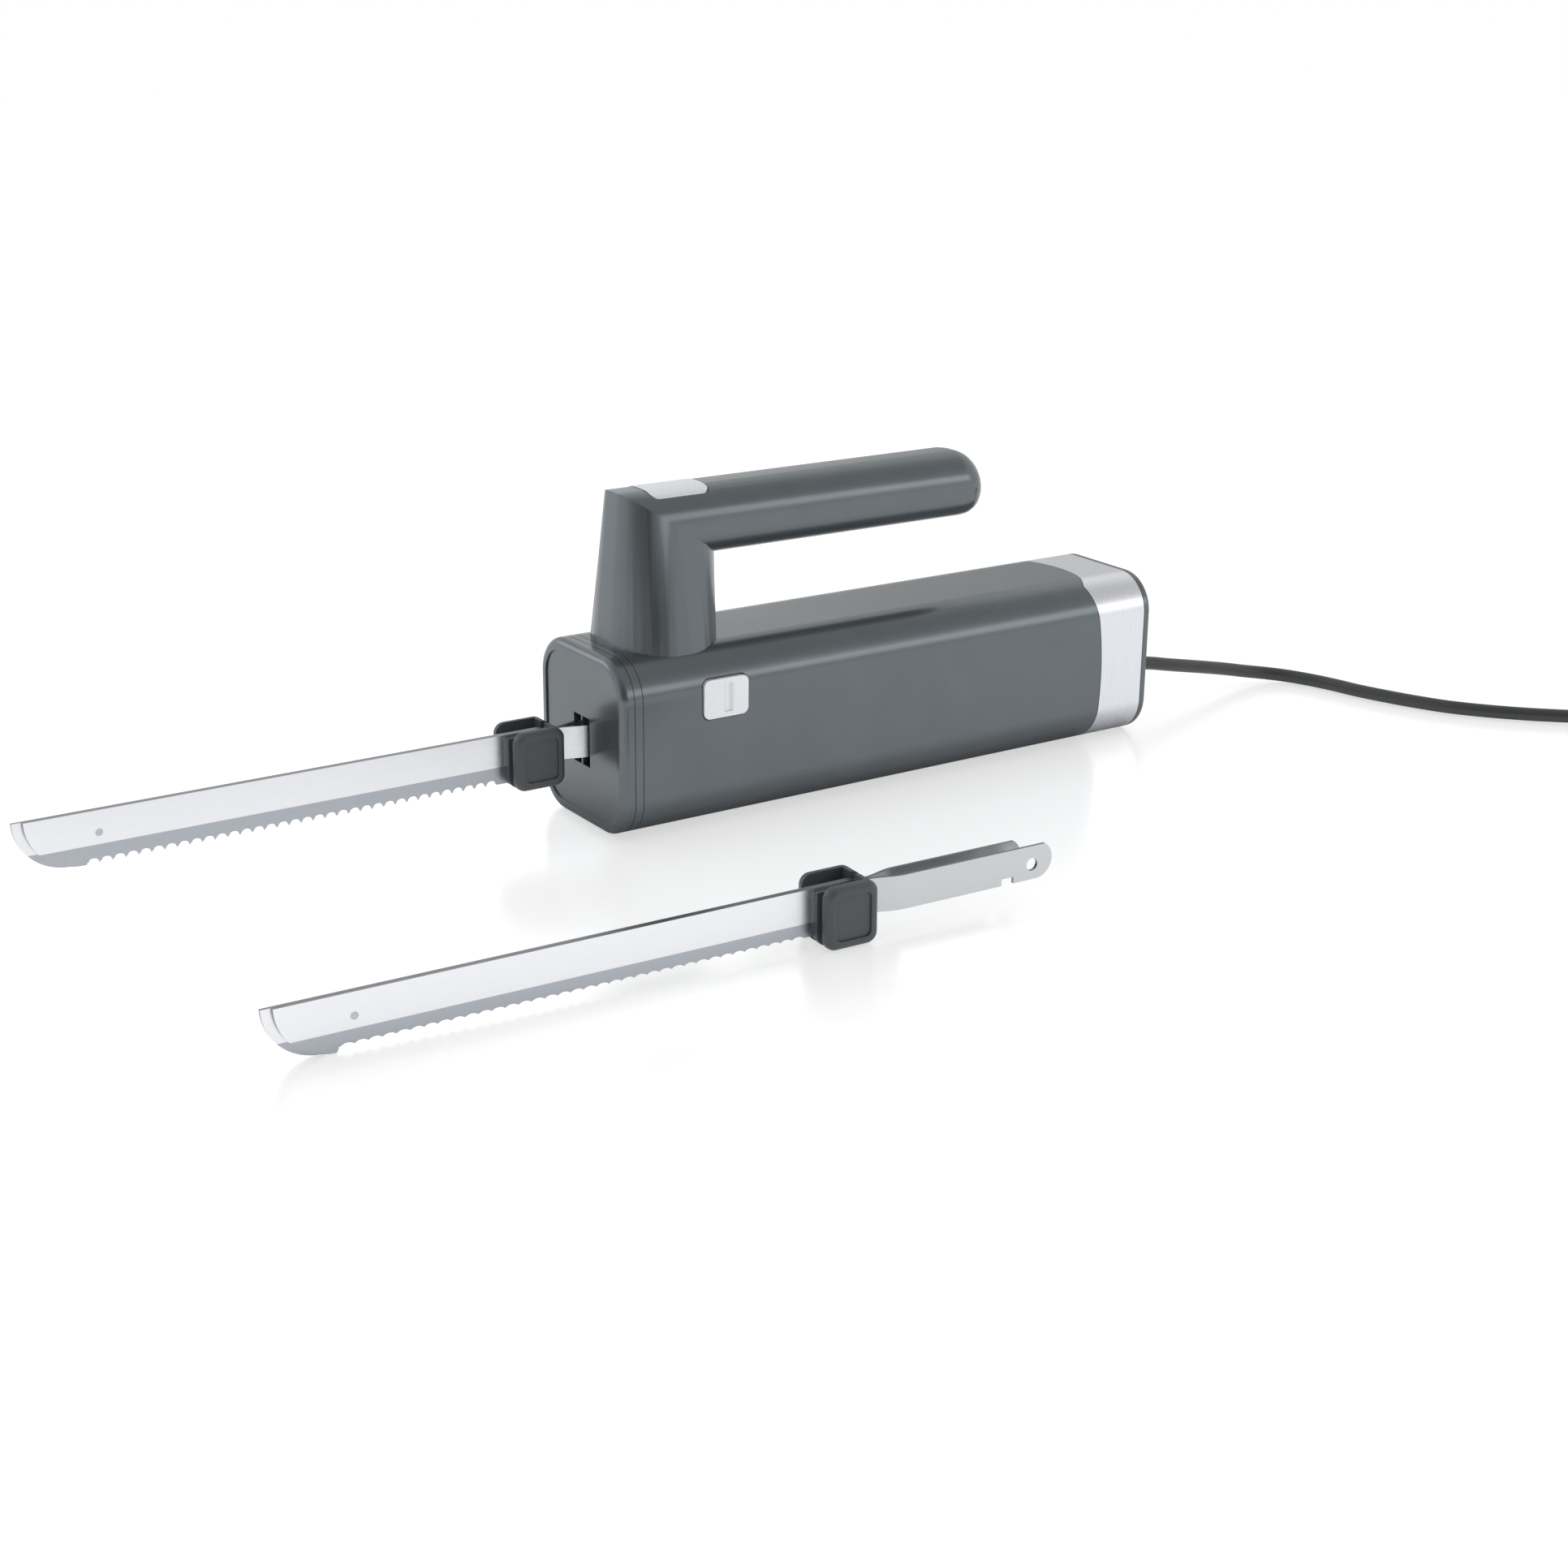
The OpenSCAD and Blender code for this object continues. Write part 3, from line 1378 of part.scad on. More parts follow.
nose_cap();
nose_collar();
body_sleeve();
metal_band();
rear_cap();
chassis();
slide_keeper();
gear_axle();
motor_can();
motor_magnets();
motor_end_bell();
shaft_bushes();
carbon_brushes();
motor_clamp();
circuit_board();
board_parts();
cord_clamp();
handle_shell();
grip_cover();
switch_holder();
micro_switch();
key_spring();
release_spring_left();
release_spring_right();
housing_screws();
handle_screws();
cord_boot();
cord();
cord_coil();
coil_tie();
plug_body();
plug_pins();
motor_shaft();
worm();
armature_core();
armature_winding();
commutator();
fan();
drive_gear();
carrier_left();
carrier_right();
latch_pin_left();
latch_pin_right();
latch_left();
latch_right();
blade_left();
guard_left();
blade_rivet();
blade_right();
guard_right();
on_switch();
switch_plunger();
release_button_left();
release_button_right();
spare_blade_left();
spare_guard_left();
spare_rivet();
spare_blade_right();
spare_guard_right();
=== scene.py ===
"""Electric carving knife on a pale studio floor: finishes for the solid parts, cord and stage."""

import math

import bmesh
import bpy
from bpy.props import FloatProperty, FloatVectorProperty, IntProperty, PointerProperty
from bpy.types import NodeSocket, Operator, Panel, PropertyGroup
from mathutils import Euler, Matrix, Vector


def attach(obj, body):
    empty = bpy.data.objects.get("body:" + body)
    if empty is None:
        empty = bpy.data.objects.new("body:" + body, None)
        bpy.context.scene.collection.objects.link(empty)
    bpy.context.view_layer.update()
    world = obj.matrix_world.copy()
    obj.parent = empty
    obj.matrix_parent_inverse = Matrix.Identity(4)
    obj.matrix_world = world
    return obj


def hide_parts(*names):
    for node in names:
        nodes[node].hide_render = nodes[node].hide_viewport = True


bl_info = {
    "name": "Electric carving knife",
    "version": (1, 0, 0),
    "blender": (4, 5, 0),
    "location": "View3D > Sidebar > Carving knife",
    "description": "Dresses an electric carving knife with its finishes, cord and studio",
    "category": "Object",
}

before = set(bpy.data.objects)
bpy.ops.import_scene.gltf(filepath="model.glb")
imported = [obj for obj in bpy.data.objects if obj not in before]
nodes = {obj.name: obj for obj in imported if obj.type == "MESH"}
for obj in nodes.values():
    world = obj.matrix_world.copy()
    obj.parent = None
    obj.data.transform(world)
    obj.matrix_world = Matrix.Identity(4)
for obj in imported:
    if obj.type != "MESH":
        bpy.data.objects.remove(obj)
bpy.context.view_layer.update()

# Lengths are in metres and angles in radians, in the frame of the solids, unless a line says
# otherwise.

# Camera: its place, and its turn to the right, downwards and sideways
CAMERA_PLACE = (-0.54623, -0.75858, 0.31371)
CAMERA_YAW, CAMERA_PITCH, CAMERA_ROLL = 0.593810, 0.332090, 0.010190

# Spare blades: the turn that lays them level and straight, and how far they then are from the
# fitted ones
SPARE_TURN = (0, math.radians(0.636), math.radians(2.87))
SPARE_SHIFT = (0.0435, 0, -0.01783)

# Height at which the ground bevel ends, on the fitted blades and on the spare ones once turned
BEVEL_TOP = 0.0274
SPARE_BEVEL_TOP = 0.0096
# Share of the blade's colour that is left on the bevel, on cut edges and on the spare tangs, as painted
# shade
BEVEL_PAINTED_SHADE = (0.5, 0.52, 0.55)
EDGE_PAINTED_SHADE = 0.3
SPARE_TANG_PAINTED_SHADE = 0.7
# Half the width over which the tang, and with it its painted shade, begins
SHADE_BLUR = 0.0001

# Tangs: height of the lower edge, and the ends and greatest height of the step that is straightened
TANG_Z = 0.026
TANG_STEP = (-0.1347, -0.1166)
TANG_STEP_UP = 0.002
# Holes of the tangs: their places along and above the edge, the reach that takes in the whole rim,
# and how many times wider they become
TANG_HOLES = {"left": -0.0699, "right": -0.0779}
TANG_HOLE_UP = 0.0054
TANG_HOLE_REACH = 0.0018
TANG_HOLE_SHARE = 1.5

# Smooth copies: points closer than this become one, and edges flatter than this, in degrees, go
SAME_POINT = 0.000002
FLAT_EDGE = 0.4
# Degrees past which an edge stays sharp, on moulded pieces and on blades
MOULDED_CREASE = 24
BLADE_CREASE = 5

# Share of the buttons' colour that the on switch has
KEY_SHARE = 0.86

# Floor: half of the body's length and width, how far it lies under the object, the share of its
# colour that its matt part and the light it throws back have, and the blur of its mirror image
BODY_REACH = (0.1235, 0.026)
FLOOR_DROP = 0.0002
FLOOR_MATT = 0.3
FLOOR_BOUNCE = 0.85
FLOOR_BLUR = 0.24

# Directions in which the surroundings change
OVERHEAD = (0, -0.35, 1)
BEHIND_CAMERA = (-0.423, -0.906, 0)
RIGHT = (1, 0, 0)
BACK = (0, 1, 0)

# Cord, in millimetres: the stretch that shows, the coil and the tail to the plug. The coil starts
# at an angle in degrees and has this many steps to a turn. The smooth line through all these
# places has CORD_STEPS steps from each one to the next.
CORD_ROUTE = [
    (130, 0, 19), (137.5, 0, 19), (144, 0, 19), (152, 0, 18), (162, 0, 15.8),
    (174, 0.5, 13.2), (186, 1, 10.6), (198, 1.2, 7.9), (208, 0.6, 5.6), (217.5, -2, 3.9),
    (225.5, -8.2, 2.9), (230.3, -18.8, 2.8), (233.4, -29.3, 2.8), (235.9, -40.9, 2.8),
    (239.8, -52.8, 2.8), (244.5, -64.9, 2.8), (250.8, -77.7, 2.8), (259.8, -90.2, 2.8),
    (270.2, -101.7, 2.8), (281.2, -112.4, 2.9), (292.4, -122.6, 3.2), (302, -131.8, 3.5),
    (309, -140, 3.7)]
COIL = {"centre": (346, -124), "start": -140, "turns": 2.375, "radius": 40, "pitch": 6.1,
        "low": 3.7, "dip": 2.5, "steps": 24}
TAIL_ROUTE = [
    (380.5, -147.4, 9.7), (389, -141, 9.2), (396.5, -134.5, 8.3), (401.5, -127, 7.2),
    (403.5, -119, 6.6), (403.5, -112, 6.6)]
CORD_STEPS = 3


def linear(red, green, blue):
    """A colour given as it looks on a screen, 0 to 255, as linear light."""
    return tuple(((c / 255) / 12.92) if c <= 10 else (((c / 255) + 0.055) / 1.055) ** 2.4
                 for c in (red, green, blue))


class KnifeSizes(PropertyGroup):
    """Sizes that a user would change."""

    cord_diameter: FloatProperty(
        name="Cord diameter", description="Outside diameter of the mains cord",
        default=0.0056, unit="LENGTH")
    focal_length: FloatProperty(
        name="Focal length", description="Lens of the studio camera in millimetres",
        default=57.494)
    floor_size: FloatProperty(
        name="Floor size", description="Side of the square floor", default=7.0, unit="LENGTH")
    grain_scale: FloatProperty(
        name="Mould grain", description="How fine the grain of the moulded plastic is",
        default=2600.0)
    brush_scale: FloatProperty(
        name="Brush lines", description="How fine the brushing of the metal band is",
        default=2400.0)
    cord_sides: IntProperty(
        name="Cord roundness", description="Steps in a quarter of the cord's section",
        default=3)


class KnifeColours(PropertyGroup):
    """Colours that a user would change."""

    housing: FloatVectorProperty(
        name="Housing", description="Slate grey of the housing and grip",
        default=linear(105, 111, 115), size=3, subtype="COLOR")
    guard: FloatVectorProperty(
        name="Guards", description="Dark grey of the finger guards",
        default=linear(72, 77, 80), size=3, subtype="COLOR")
    button: FloatVectorProperty(
        name="Buttons", description="Silver of the switch and the release buttons",
        default=linear(236, 238, 242), size=3, subtype="COLOR")
    band: FloatVectorProperty(
        name="Metal band", description="Aluminium of the band at the rear",
        default=linear(224, 226, 231), size=3, subtype="COLOR")
    blade: FloatVectorProperty(
        name="Blades", description="Steel of the blades",
        default=linear(238, 239, 242), size=3, subtype="COLOR")
    cord: FloatVectorProperty(
        name="Cord", description="Dark grey of the cord and plug",
        default=linear(52, 55, 58), size=3, subtype="COLOR")
    floor: FloatVectorProperty(
        name="Floor", description="Pale floor", default=(0.88, 0.88, 0.885), size=3,
        subtype="COLOR")


class NodeTree:
    """Short way to write the nodes of a material or of the world."""

    def __init__(self, owner):
        owner.use_nodes = True
        self.owner = owner
        self.tree = owner.node_tree
        self.coords = self.add("ShaderNodeTexCoord")

    def feed(self, socket, value):
        """Give an input a number, a direction or a colour, or the output of another node."""
        if isinstance(value, NodeSocket):
            self.tree.links.new(value, socket)
        elif socket.type == "RGBA":
            socket.default_value = (*value, 1.0)
        else:
            socket.default_value = value

    def add(self, kind, **values):
        """A new node; each value is a setting of it or feeds the input of that name."""
        node = self.tree.nodes.new(kind)
        for key, value in values.items():
            if hasattr(node, key):
                setattr(node, key, value)
            else:
                self.feed(node.inputs[key.replace("_", " ")], value)
        return node

    def mapped(self, scale=(1, 1, 1), rotation=(0, 0, 0)):
        """The piece's own coordinates, turned and then stretched."""
        return self.add("ShaderNodeMapping", Vector=self.coords.outputs["Object"], Scale=scale,
                        Rotation=rotation).outputs["Vector"]

    def noise(self, vector, scale, detail=2.0):
        return self.add("ShaderNodeTexNoise", Vector=vector, Scale=scale, Detail=detail,
                        Roughness=0.5).outputs["Fac"]

    def maths(self, operation, *values):
        node = self.add("ShaderNodeMath", operation=operation)
        for value, socket in zip(values, node.inputs):
            self.feed(socket, value)
        return node.outputs[0]

    def spread(self, value, low, high, from_low=0.3, from_high=0.7):
        """From low to high while the value goes from from_low to from_high."""
        return self.add("ShaderNodeMapRange", Value=value, From_Min=from_low, From_Max=from_high,
                        To_Min=low, To_Max=high).outputs["Result"]

    def blended(self, factor, first, second):
        """One value turning into another; each is a number or the output of a node."""
        mix = self.add("ShaderNodeMix", data_type="FLOAT")
        for key, value in (("Factor", factor), ("A", first), ("B", second)):
            self.feed(mix.inputs[key], value)
        return mix.outputs["Result"]

    def mixed(self, factor, first, second):
        """One colour turning into another; each is a colour or the output of a node."""
        mix = self.add("ShaderNodeMix", data_type="RGBA")
        self.feed(mix.inputs["Factor"], factor)
        ends = {socket.identifier: socket for socket in mix.inputs}
        self.feed(ends["A_Color"], first)
        self.feed(ends["B_Color"], second)
        return next(socket for socket in mix.outputs if socket.type == "RGBA")

    def bump(self, height, strength, distance):
        return self.add("ShaderNodeBump", Height=height, Strength=strength,
                        Distance=distance).outputs["Normal"]

    def summed(self, first, second):
        """Two shaders on top of each other."""
        both = self.add("ShaderNodeAddShader")
        self.feed(both.inputs[0], first.outputs[0])
        self.feed(both.inputs[1], second.outputs[0])
        return both

    def surface(self, **values):
        """Feed the inputs of the material's own shader and hand the material back."""
        shader = self.tree.nodes["Principled BSDF"]
        for key, value in values.items():
            self.feed(shader.inputs[key.replace("_", " ")], value)
        return self.owner


def new_material(name):
    return NodeTree(bpy.data.materials.new(name))


def shades(colour, spread):
    """A colour a little darker and a little lighter."""
    return [c * (1 - spread) for c in colour], [min(1.0, c * (1 + spread)) for c in colour]


def moulded_plastic(name, colour, roughness, grain, spread=0.04, bump=0.08, flake=0.0):
    """Satin moulded plastic: fine mould grain, faint clouding, slight changes in gloss."""
    m = new_material(name)
    cloud = m.noise(m.mapped(), scale=60, detail=3)
    fine = m.noise(m.mapped(), grain, detail=1)
    return m.surface(
        Metallic=flake,
        Base_Color=m.mixed(m.spread(cloud, 0, 1), *shades(colour, spread)),
        Roughness=m.spread(fine, roughness - 0.03, roughness + 0.04),
        Normal=m.bump(fine, bump, distance=0.00003))


def silver_lacquer(name, colour):
    """Silver paint with very fine flakes."""
    m = new_material(name)
    flake = m.noise(m.mapped(), scale=5200, detail=1)
    return m.surface(
        Metallic=0.45,
        Base_Color=m.mixed(m.spread(flake, 0, 1), *shades(colour, spread=0.03)),
        Roughness=m.spread(flake, low=0.26, high=0.34),
        Normal=m.bump(flake, strength=0.05, distance=0.00002))


def brushed_metal(name, colour, scale, stretch, roughness, spread, bump):
    """Metal with brushing lines along the axis that stretch draws out."""
    m = new_material(name)
    lines = m.noise(m.mapped(stretch), scale)
    return m.surface(
        Metallic=1.0,
        Base_Color=m.mixed(m.spread(lines, 0, 1), *shades(colour, spread)),
        Roughness=m.spread(lines, roughness - 0.05, roughness + 0.06),
        Normal=m.bump(lines, bump, distance=0.00003))


def blade_steel(name, colour, turn, bevel_z, guard, tang_painted_shade):
    """Satin blade: polishing lines along the flat, a cross-ground bevel darkened with painted shade,
    painted shade on the cut edges and on the spare tangs.
    """
    m = new_material(name)
    vector = m.mapped(rotation=turn)
    place = m.add("ShaderNodeSeparateXYZ", Vector=vector)
    side = m.add("ShaderNodeSeparateXYZ", Vector=m.coords.outputs["Normal"])

    # The bevel runs from the tip to the middle of the guard, where the tang begins
    spin = Euler(turn).to_matrix()
    along_guard = [(spin @ vertex.co).x for vertex in nodes[guard].data.vertices]
    heel = (min(along_guard) + max(along_guard)) / 2
    on_tang = m.spread(place.outputs["X"], 0, 1, heel - SHADE_BLUR, heel + SHADE_BLUR)
    low = m.spread(place.outputs["Z"], 1, 0, bevel_z - 2 * SHADE_BLUR, bevel_z + SHADE_BLUR)
    on_bevel = m.maths("MULTIPLY", low, m.maths("SUBTRACT", 1.0, on_tang))
    # Painted shade: faces that do not face sideways, on the spine, tip and teeth, are darkened
    painted_edge_shade = m.spread(m.maths("ABSOLUTE", side.outputs["Y"]), 1, 0, from_low=0.5, from_high=0.8)

    flat = m.add("ShaderNodeMapping", Vector=vector, Scale=(0.02, 0.6, 1)).outputs["Vector"]
    ground = m.add("ShaderNodeMapping", Vector=vector, Scale=(1, 0.3, 0.04)).outputs["Vector"]
    lines = m.blended(on_bevel, m.noise(flat, scale=2600), m.noise(ground, scale=3400))

    # Painted shade: the cross-ground bevel is given a darker colour than the flat of the same steel
    shade = m.mixed(on_bevel, colour, [c * share for c, share in zip(colour, BEVEL_PAINTED_SHADE)])
    # Painted shade on the tang past the guard: darker on the spare blades, none on the fitted ones
    shade = m.mixed(on_tang, shade, [c * tang_painted_shade for c in colour])
    shade = m.mixed(painted_edge_shade, shade, [c * EDGE_PAINTED_SHADE for c in colour])
    return m.surface(
        Metallic=1.0,
        Base_Color=shade,
        Roughness=m.spread(lines, low=0.27, high=0.33),
        Normal=m.bump(lines, strength=0.03, distance=0.00002))


def plain_metal(name, colour, roughness):
    """Bare metal with faint changes in shade and gloss."""
    m = new_material(name)
    wear = m.noise(m.mapped(), scale=900, detail=3)
    return m.surface(
        Metallic=1.0,
        Base_Color=m.mixed(m.spread(wear, 0, 1), *shades(colour, spread=0.06)),
        Roughness=m.spread(wear, roughness - 0.05, roughness + 0.08))


def smooth_copy(name, material, body, crease=MOULDED_CREASE, reshape=None):
    """Stand a merged copy in for a node, shaded round across its facets under the crease angle."""
    form = bmesh.new()
    form.from_mesh(nodes[name].data)
    bmesh.ops.remove_doubles(form, verts=form.verts, dist=SAME_POINT)
    if reshape:
        for vertex in form.verts:
            vertex.co = reshape(vertex.co)
        bmesh.ops.dissolve_degenerate(form, edges=form.edges, dist=SAME_POINT)
    else:
        bmesh.ops.dissolve_limit(form, angle_limit=math.radians(FLAT_EDGE), verts=form.verts,
                                 edges=form.edges)
    for face in form.faces:
        face.smooth = True
    limit = math.radians(crease)
    for edge in form.edges:
        edge.smooth = len(edge.link_faces) == 2 and edge.calc_face_angle(0) < limit
    mesh = bpy.data.meshes.new(name + "_smooth")
    form.to_mesh(mesh)
    form.free()
    mesh.materials.append(material)
    piece = bpy.data.objects.new(name + "_smooth", mesh)
    bpy.context.scene.collection.objects.link(piece)
    weight = piece.modifiers.new("even_shading", "WEIGHTED_NORMAL")
    weight.keep_sharp = True
    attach(piece, body)
    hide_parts(name)


def whole_tang(hole_x, turn=(0, 0, 0), shift=(0, 0, 0)):
    """Rule that straightens a tang's lower edge and opens its hole to the size that shows."""
    spin, shift = Euler(turn).to_matrix(), Vector(shift)
    hole = Vector((hole_x, 0, TANG_Z + TANG_HOLE_UP))

    def reshape(spot):
        point = spin @ spot - shift
        if TANG_STEP[0] < point.x < TANG_STEP[1] and 0 < point.z - TANG_Z < TANG_STEP_UP:
            point.z = TANG_Z
        outward = Vector((point.x, 0, point.z)) - hole
        if outward.length < TANG_HOLE_REACH:
            point += outward * (TANG_HOLE_SHARE - 1)
        return spin.transposed() @ (point + shift)

    return reshape


def dress(names, material):
    """Give solid pieces one material."""
    for name in names:
        slots = nodes[name].data.materials
        if not slots:
            slots.append(material)
        for i in range(len(slots)):
            slots[i] = material


class KNIFE_OT_camera(Operator):
    """Set up the camera at the photographed angle"""

    bl_idname = "knife.camera"
    bl_label = "Camera"

    def execute(self, context):
        data = bpy.data.cameras.new("studio_camera")
        data.sensor_width = 36
        data.lens = context.scene.knife_sizes.focal_length
        data.clip_start, data.clip_end = 0.05, 50
        camera = bpy.data.objects.new("studio_camera", data)
        context.scene.collection.objects.link(camera)
        level = math.cos(CAMERA_PITCH)
        ahead = Vector((math.sin(CAMERA_YAW) * level, math.cos(CAMERA_YAW) * level,
                        -math.sin(CAMERA_PITCH)))
        right = Vector((math.cos(CAMERA_YAW), -math.sin(CAMERA_YAW), 0))
        down = ahead.cross(right)
        tilted_right = right * math.cos(CAMERA_ROLL) - down * math.sin(CAMERA_ROLL)
        tilted_down = right * math.sin(CAMERA_ROLL) + down * math.cos(CAMERA_ROLL)
        turn = Matrix((tilted_right, -tilted_down, -ahead)).transposed()
        camera.matrix_world = Matrix.Translation(CAMERA_PLACE) @ turn.to_4x4()
        context.scene.camera = camera
        return {"FINISHED"}


def area_light(scene, name, place, target, size, power):
    """A soft rectangular lamp that points at the target."""
    data = bpy.data.lights.new(name, "AREA")
    data.shape = "RECTANGLE"
    data.size, data.size_y = size
    data.energy = power
    lamp = bpy.data.objects.new(name, data)
    lamp.location = place
    lamp.rotation_euler = (Vector(target) - Vector(place)).to_track_quat("-Z", "Y").to_euler()
    scene.collection.objects.link(lamp)
    return lamp


def pale_floor(colour):
    """White floor with a soft mirror image and shadow, and a pale one for the object's light, with a
    painted glow that leaves a painted contact shadow under the body.
    """
    m = new_material("pale_floor")
    place = m.add("ShaderNodeSeparateXYZ", Vector=m.coords.outputs["Object"])
    beside = (m.maths("SUBTRACT", m.maths("ABSOLUTE", place.outputs[axis]), reach)
              for axis, reach in zip("XY", BODY_REACH))
    distance = m.maths("MAXIMUM", *beside)

    # What the camera sees: brighter and without the mirror image further out
    matt = m.add("ShaderNodeBsdfDiffuse", Color=[c * FLOOR_MATT for c in colour])
    mirror = m.add("ShaderNodeBsdfGlossy", Roughness=FLOOR_BLUR,
                   Color=m.spread(distance, 0.36, 0.02, from_low=0.25, from_high=0.8))
    glow = m.add("ShaderNodeEmission",
                 Strength=m.spread(distance, 0.61, 0.92, from_low=0.2, from_high=0.8))
    seen = m.summed(m.summed(matt, mirror), glow)

    # What lights the object: the floor's colour and a painted glow, with nothing added right under the
    # body, which leaves a painted contact shadow there
    bounce = m.add("ShaderNodeBsdfDiffuse", Color=[c * FLOOR_BOUNCE for c in colour])
    painted_floor_glow = m.add("ShaderNodeEmission",
                 Strength=m.spread(distance, 0.0, 0.38, from_low=0.0, from_high=0.03))
    unseen = m.summed(bounce, painted_floor_glow)

    both = m.add("ShaderNodeMixShader",
                 Fac=m.add("ShaderNodeLightPath").outputs["Is Camera Ray"])
    m.feed(both.inputs[1], unseen.outputs[0])
    m.feed(both.inputs[2], seen.outputs[0])
    m.feed(m.tree.nodes["Material Output"].inputs["Surface"], both.outputs[0])
    return m.owner


def studio_world():
    """White behind the object; its reflections show a dim ceiling and a dark side behind the camera."""
    m = NodeTree(bpy.data.worlds.new("studio"))
    path = m.add("ShaderNodeLightPath").outputs

    def fade(direction, low, high, from_low, from_high):
        """From low to high as the view turns towards a direction, from_low to from_high of it."""
        toward = m.add("ShaderNodeVectorMath", operation="DOT_PRODUCT")
        m.feed(toward.inputs[0], m.coords.outputs["Generated"])
        m.feed(toward.inputs[1], direction)
        return m.spread(toward.outputs["Value"], low, high, from_low, from_high)

    # In reflections: a dim ceiling, a dark side behind the camera and a darker corner at the back
    ceiling = fade(OVERHEAD, 0.92, 0.5, from_low=0.6, from_high=0.86)
    near_side = fade(BEHIND_CAMERA, 1, 0.04, from_low=0.45, from_high=0.95)
    corner = m.maths("MULTIPLY", fade(RIGHT, 0, 0.42, from_low=0.5, from_high=0.64),
                     fade(BACK, 0, 1, from_low=0.55, from_high=0.72))
    shown = m.maths("MULTIPLY", m.maths("MULTIPLY", ceiling, near_side),
                    m.maths("SUBTRACT", 1.0, corner))
    # As light on matt surfaces, and in plain sight, where it is white
    lit = fade(BEHIND_CAMERA, 0.86, 0.35, from_low=0.2, from_high=0.95)
    sight = m.maths("MAXIMUM", path["Is Camera Ray"], path["Is Transmission Ray"])
    background = m.tree.nodes["Background"]
    m.feed(background.inputs["Strength"],
           m.blended(sight, m.blended(path["Is Glossy Ray"], lit, shown), 1.0))
    m.feed(background.inputs["Color"], (1, 1, 1))
    return m.owner


class KNIFE_OT_stage(Operator):
    """Lay the pale floor and hang the soft studio lights"""

    bl_idname = "knife.stage"
    bl_label = "Stage"

    def execute(self, context):
        scene = context.scene
        mesh = bpy.data.meshes.new("floor")
        form = bmesh.new()
        bmesh.ops.create_grid(form, x_segments=1, y_segments=1,
                              size=scene.knife_sizes.floor_size / 2)
        bmesh.ops.translate(form, verts=form.verts, vec=(0, 0, -FLOOR_DROP))
        form.to_mesh(mesh)
        form.free()
        floor = bpy.data.objects.new("floor", mesh)
        scene.collection.objects.link(floor)
        mesh.materials.append(pale_floor(scene.knife_colours.floor))
        scene.world = studio_world()
        top = area_light(scene, "top_softbox", place=(0.1, 0.2, 1.6), target=(0, 0, 0.05),
                         size=(1.6, 1.2), power=3.5)
        top.visible_glossy = False
        area_light(scene, "front_softbox", place=(0.9, -1.3, 0.5), target=(0, 0, 0.1),
                   size=(0.9, 0.42), power=1.7)
        area_light(scene, "rear_softbox", place=(-1.1, 1.3, 0.7), target=(0, 0, 0.05),
                   size=(1.0, 0.8), power=3.0)
        scene.view_settings.view_transform = "Standard"
        return {"FINISHED"}


class KNIFE_OT_housing(Operator):
    """Give the housing, grip and rear band their finishes"""

    bl_idname = "knife.housing"
    bl_label = "Housing"

    def execute(self, context):
        sizes, colours = context.scene.knife_sizes, context.scene.knife_colours
        slate = moulded_plastic("slate_moulding", colours.housing, roughness=0.22,
                                grain=sizes.grain_scale, spread=0.03, bump=0.05, flake=0.65)
        dress(("nose_cap", "nose_collar", "body_sleeve", "rear_cap", "handle_shell",
               "grip_cover"), slate)
        for name in ("handle_shell", "grip_cover"):
            smooth_copy(name, slate, "housing")
        dress(("metal_band",), brushed_metal(
            "brushed_band", colours.band, scale=sizes.brush_scale, stretch=(1, 1, 0.02),
            roughness=0.3, spread=0.05, bump=0.12))
        return {"FINISHED"}


class KNIFE_OT_buttons(Operator):
    """Give the on switch and the release buttons their silver finish"""

    bl_idname = "knife.buttons"
    bl_label = "Buttons"

    def execute(self, context):
        colour = context.scene.knife_colours.button
        dress(("release_button_left", "release_button_right"),
              silver_lacquer("silver_lacquer", colour))
        key = silver_lacquer("key_lacquer", [c * KEY_SHARE for c in colour])
        smooth_copy("on_switch", key, "on_key")
        return {"FINISHED"}


class KNIFE_OT_blades(Operator):
    """Give the blades, rivets and finger guards their finishes"""

    bl_idname = "knife.blades"
    bl_label = "Blades"

    def execute(self, context):
        colours = context.scene.knife_colours
        fitted = blade_steel("blade_steel", colours.blade, turn=(0, 0, 0), bevel_z=BEVEL_TOP,
                             guard="guard_left", tang_painted_shade=1)
        spare = blade_steel("spare_blade_steel", colours.blade, turn=SPARE_TURN,
                            bevel_z=SPARE_BEVEL_TOP, guard="spare_guard_left",
                            tang_painted_shade=SPARE_TANG_PAINTED_SHADE)
        for side, hole_x in TANG_HOLES.items():
            smooth_copy(f"blade_{side}", fitted, f"{side}_blade", BLADE_CREASE,
                        whole_tang(hole_x))
            smooth_copy(f"spare_blade_{side}", spare, f"spare_{side}", BLADE_CREASE,
                        whole_tang(hole_x, SPARE_TURN, SPARE_SHIFT))
        dress(("guard_left", "guard_right", "spare_guard_left", "spare_guard_right"),
              moulded_plastic("guard_moulding", colours.guard, roughness=0.46, grain=3000,
                              spread=0.05, bump=0.12))
        dress(("blade_rivet", "spare_rivet"),
              plain_metal("rivet_steel", linear(190, 192, 196), roughness=0.3))
        return {"FINISHED"}


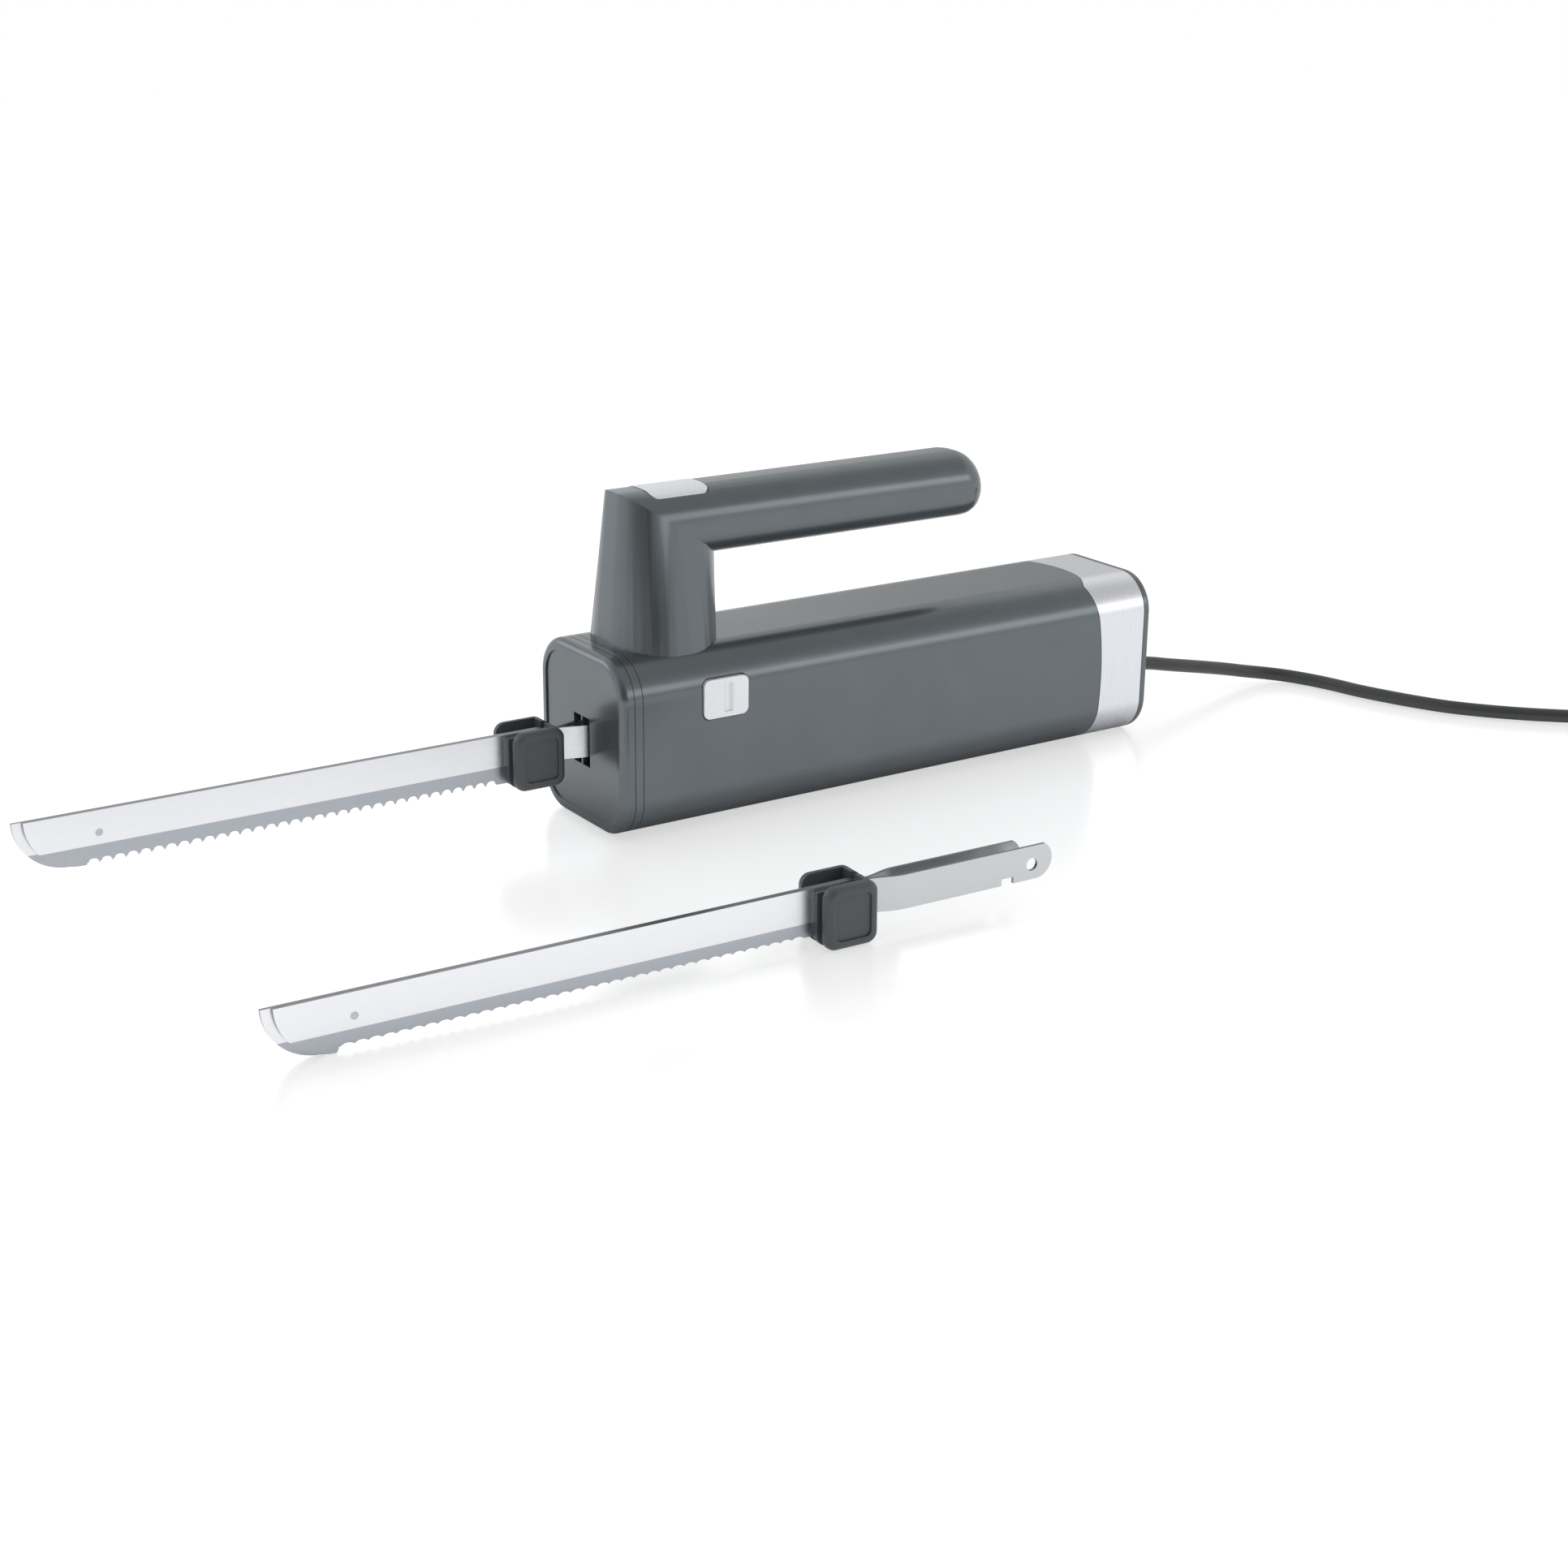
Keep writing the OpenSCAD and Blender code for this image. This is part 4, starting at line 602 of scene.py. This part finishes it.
class KNIFE_OT_inside(Operator):
    """Give the drive, the motor and the small inner parts their finishes"""

    bl_idname = "knife.inside"
    bl_label = "Inside"

    def execute(self, context):
        dress(("chassis", "slide_keeper", "cord_clamp", "switch_holder", "drive_gear",
               "carrier_left", "carrier_right", "latch_left", "latch_right"),
              moulded_plastic("natural_nylon", linear(232, 228, 214), roughness=0.45,
                              grain=1800, spread=0.03))
        dress(("gear_axle", "motor_can", "motor_clamp", "key_spring", "release_spring_left",
               "release_spring_right", "housing_screws", "handle_screws", "plug_pins",
               "motor_shaft", "armature_core", "latch_pin_left", "latch_pin_right"),
              plain_metal("bright_steel", linear(200, 202, 206), roughness=0.28))
        dress(("worm", "shaft_bushes"),
              plain_metal("sintered_brass", linear(200, 165, 90), roughness=0.32))
        dress(("armature_winding", "commutator"),
              plain_metal("copper_wire", linear(196, 118, 74), roughness=0.3))
        dress(("motor_magnets", "motor_end_bell", "carbon_brushes", "fan", "board_parts",
               "micro_switch"),
              moulded_plastic("black_moulding", linear(40, 42, 45), roughness=0.5,
                              grain=2400, spread=0.06))
        dress(("circuit_board",),
              moulded_plastic("board_laminate", linear(46, 107, 71), roughness=0.4,
                              grain=1500, spread=0.06))
        dress(("switch_plunger",),
              moulded_plastic("red_moulding", linear(179, 58, 46), roughness=0.4, grain=2400))
        return {"FINISHED"}


def smooth_line(points, steps):
    """Points along a smooth line through all the given points."""
    points = [Vector(p) for p in points]
    ends = [points[0] * 2 - points[1], *points, points[-1] * 2 - points[-2]]
    line = []
    for i in range(1, len(ends) - 2):
        a, b, c, d = ends[i - 1:i + 3]
        for k in range(steps):
            t = k / steps
            line.append(0.5 * (2 * b + (c - a) * t + (2 * a - 5 * b + 4 * c - d) * t * t
                               + (3 * b - a - 3 * c + d) * t ** 3))
    line.append(points[-1])
    return line


def coil_route():
    """The coil's turns: in along the floor, half a turn up, and out on top."""
    turns, radius, pitch = COIL["turns"], COIL["radius"], COIL["pitch"]
    total = 2 * turns + 0.5
    points = []
    for i in range(round(total * COIL["steps"]) + 1):
        a = i / COIL["steps"]
        if a < turns:
            r = radius - pitch * a
        elif a < turns + 0.5:
            r = radius - pitch * turns - COIL["dip"] * math.sin(2 * math.pi * (a - turns))
        else:
            r = radius - pitch * (total - a)
        angle = math.radians(COIL["start"] + 360 * a)
        points.append((COIL["centre"][0] + r * math.cos(angle),
                       COIL["centre"][1] + r * math.sin(angle),
                       COIL["low"] + pitch * min(1, max(0, (a - turns) * 2))))
    return points


class KNIFE_OT_cord(Operator):
    """Lay the mains cord from its sleeve to the coil and the plug"""

    bl_idname = "knife.cord"
    bl_label = "Cord"

    def execute(self, context):
        sizes, colours = context.scene.knife_sizes, context.scene.knife_colours
        route = [Vector(p) / 1000 for p in CORD_ROUTE + coil_route() + TAIL_ROUTE]
        line = smooth_line(route, CORD_STEPS)
        data = bpy.data.curves.new("mains_cord", "CURVE")
        data.dimensions = "3D"
        data.bevel_depth = sizes.cord_diameter / 2
        data.bevel_resolution = sizes.cord_sides
        data.use_fill_caps = True
        spline = data.splines.new("POLY")
        spline.points.add(len(line) - 1)
        for point, place in zip(spline.points, line):
            point.co = (*place, 1)
        spline.use_smooth = True
        piece = bpy.data.objects.new("mains_cord", data)
        context.scene.collection.objects.link(piece)
        rubber = moulded_plastic("cord_sheath", colours.cord, roughness=0.42, grain=1600,
                                 spread=0.05, bump=0.1)
        data.materials.append(rubber)
        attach(piece, "housing")
        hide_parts("cord", "cord_coil")
        dress(("cord_boot", "plug_body", "coil_tie"), rubber)
        return {"FINISHED"}


class VIEW3D_PT_knife(Panel):
    """Lists the steps and the values of the carving knife"""

    bl_label = "Carving knife"
    bl_space_type = "VIEW_3D"
    bl_region_type = "UI"
    bl_category = "Carving knife"

    def draw(self, context):
        scene = context.scene
        for operator in STEPS:
            self.layout.operator(operator.bl_idname)
        for group in (scene.knife_sizes, scene.knife_colours):
            for name in group.__annotations__:
                self.layout.prop(group, name)


STEPS = (KNIFE_OT_camera, KNIFE_OT_cord, KNIFE_OT_stage, KNIFE_OT_housing, KNIFE_OT_buttons,
         KNIFE_OT_blades, KNIFE_OT_inside)
CLASSES = (KnifeSizes, KnifeColours, *STEPS, VIEW3D_PT_knife)


def register():
    for cls in CLASSES:
        bpy.utils.register_class(cls)
    bpy.types.Scene.knife_sizes = PointerProperty(type=KnifeSizes)
    bpy.types.Scene.knife_colours = PointerProperty(type=KnifeColours)


def unregister():
    del bpy.types.Scene.knife_colours
    del bpy.types.Scene.knife_sizes
    for cls in reversed(CLASSES):
        bpy.utils.unregister_class(cls)


def main():
    register()
    for operator in STEPS:
        group, name = operator.bl_idname.split(".")
        getattr(getattr(bpy.ops, group), name)()


if __name__ == "__main__":
    main()
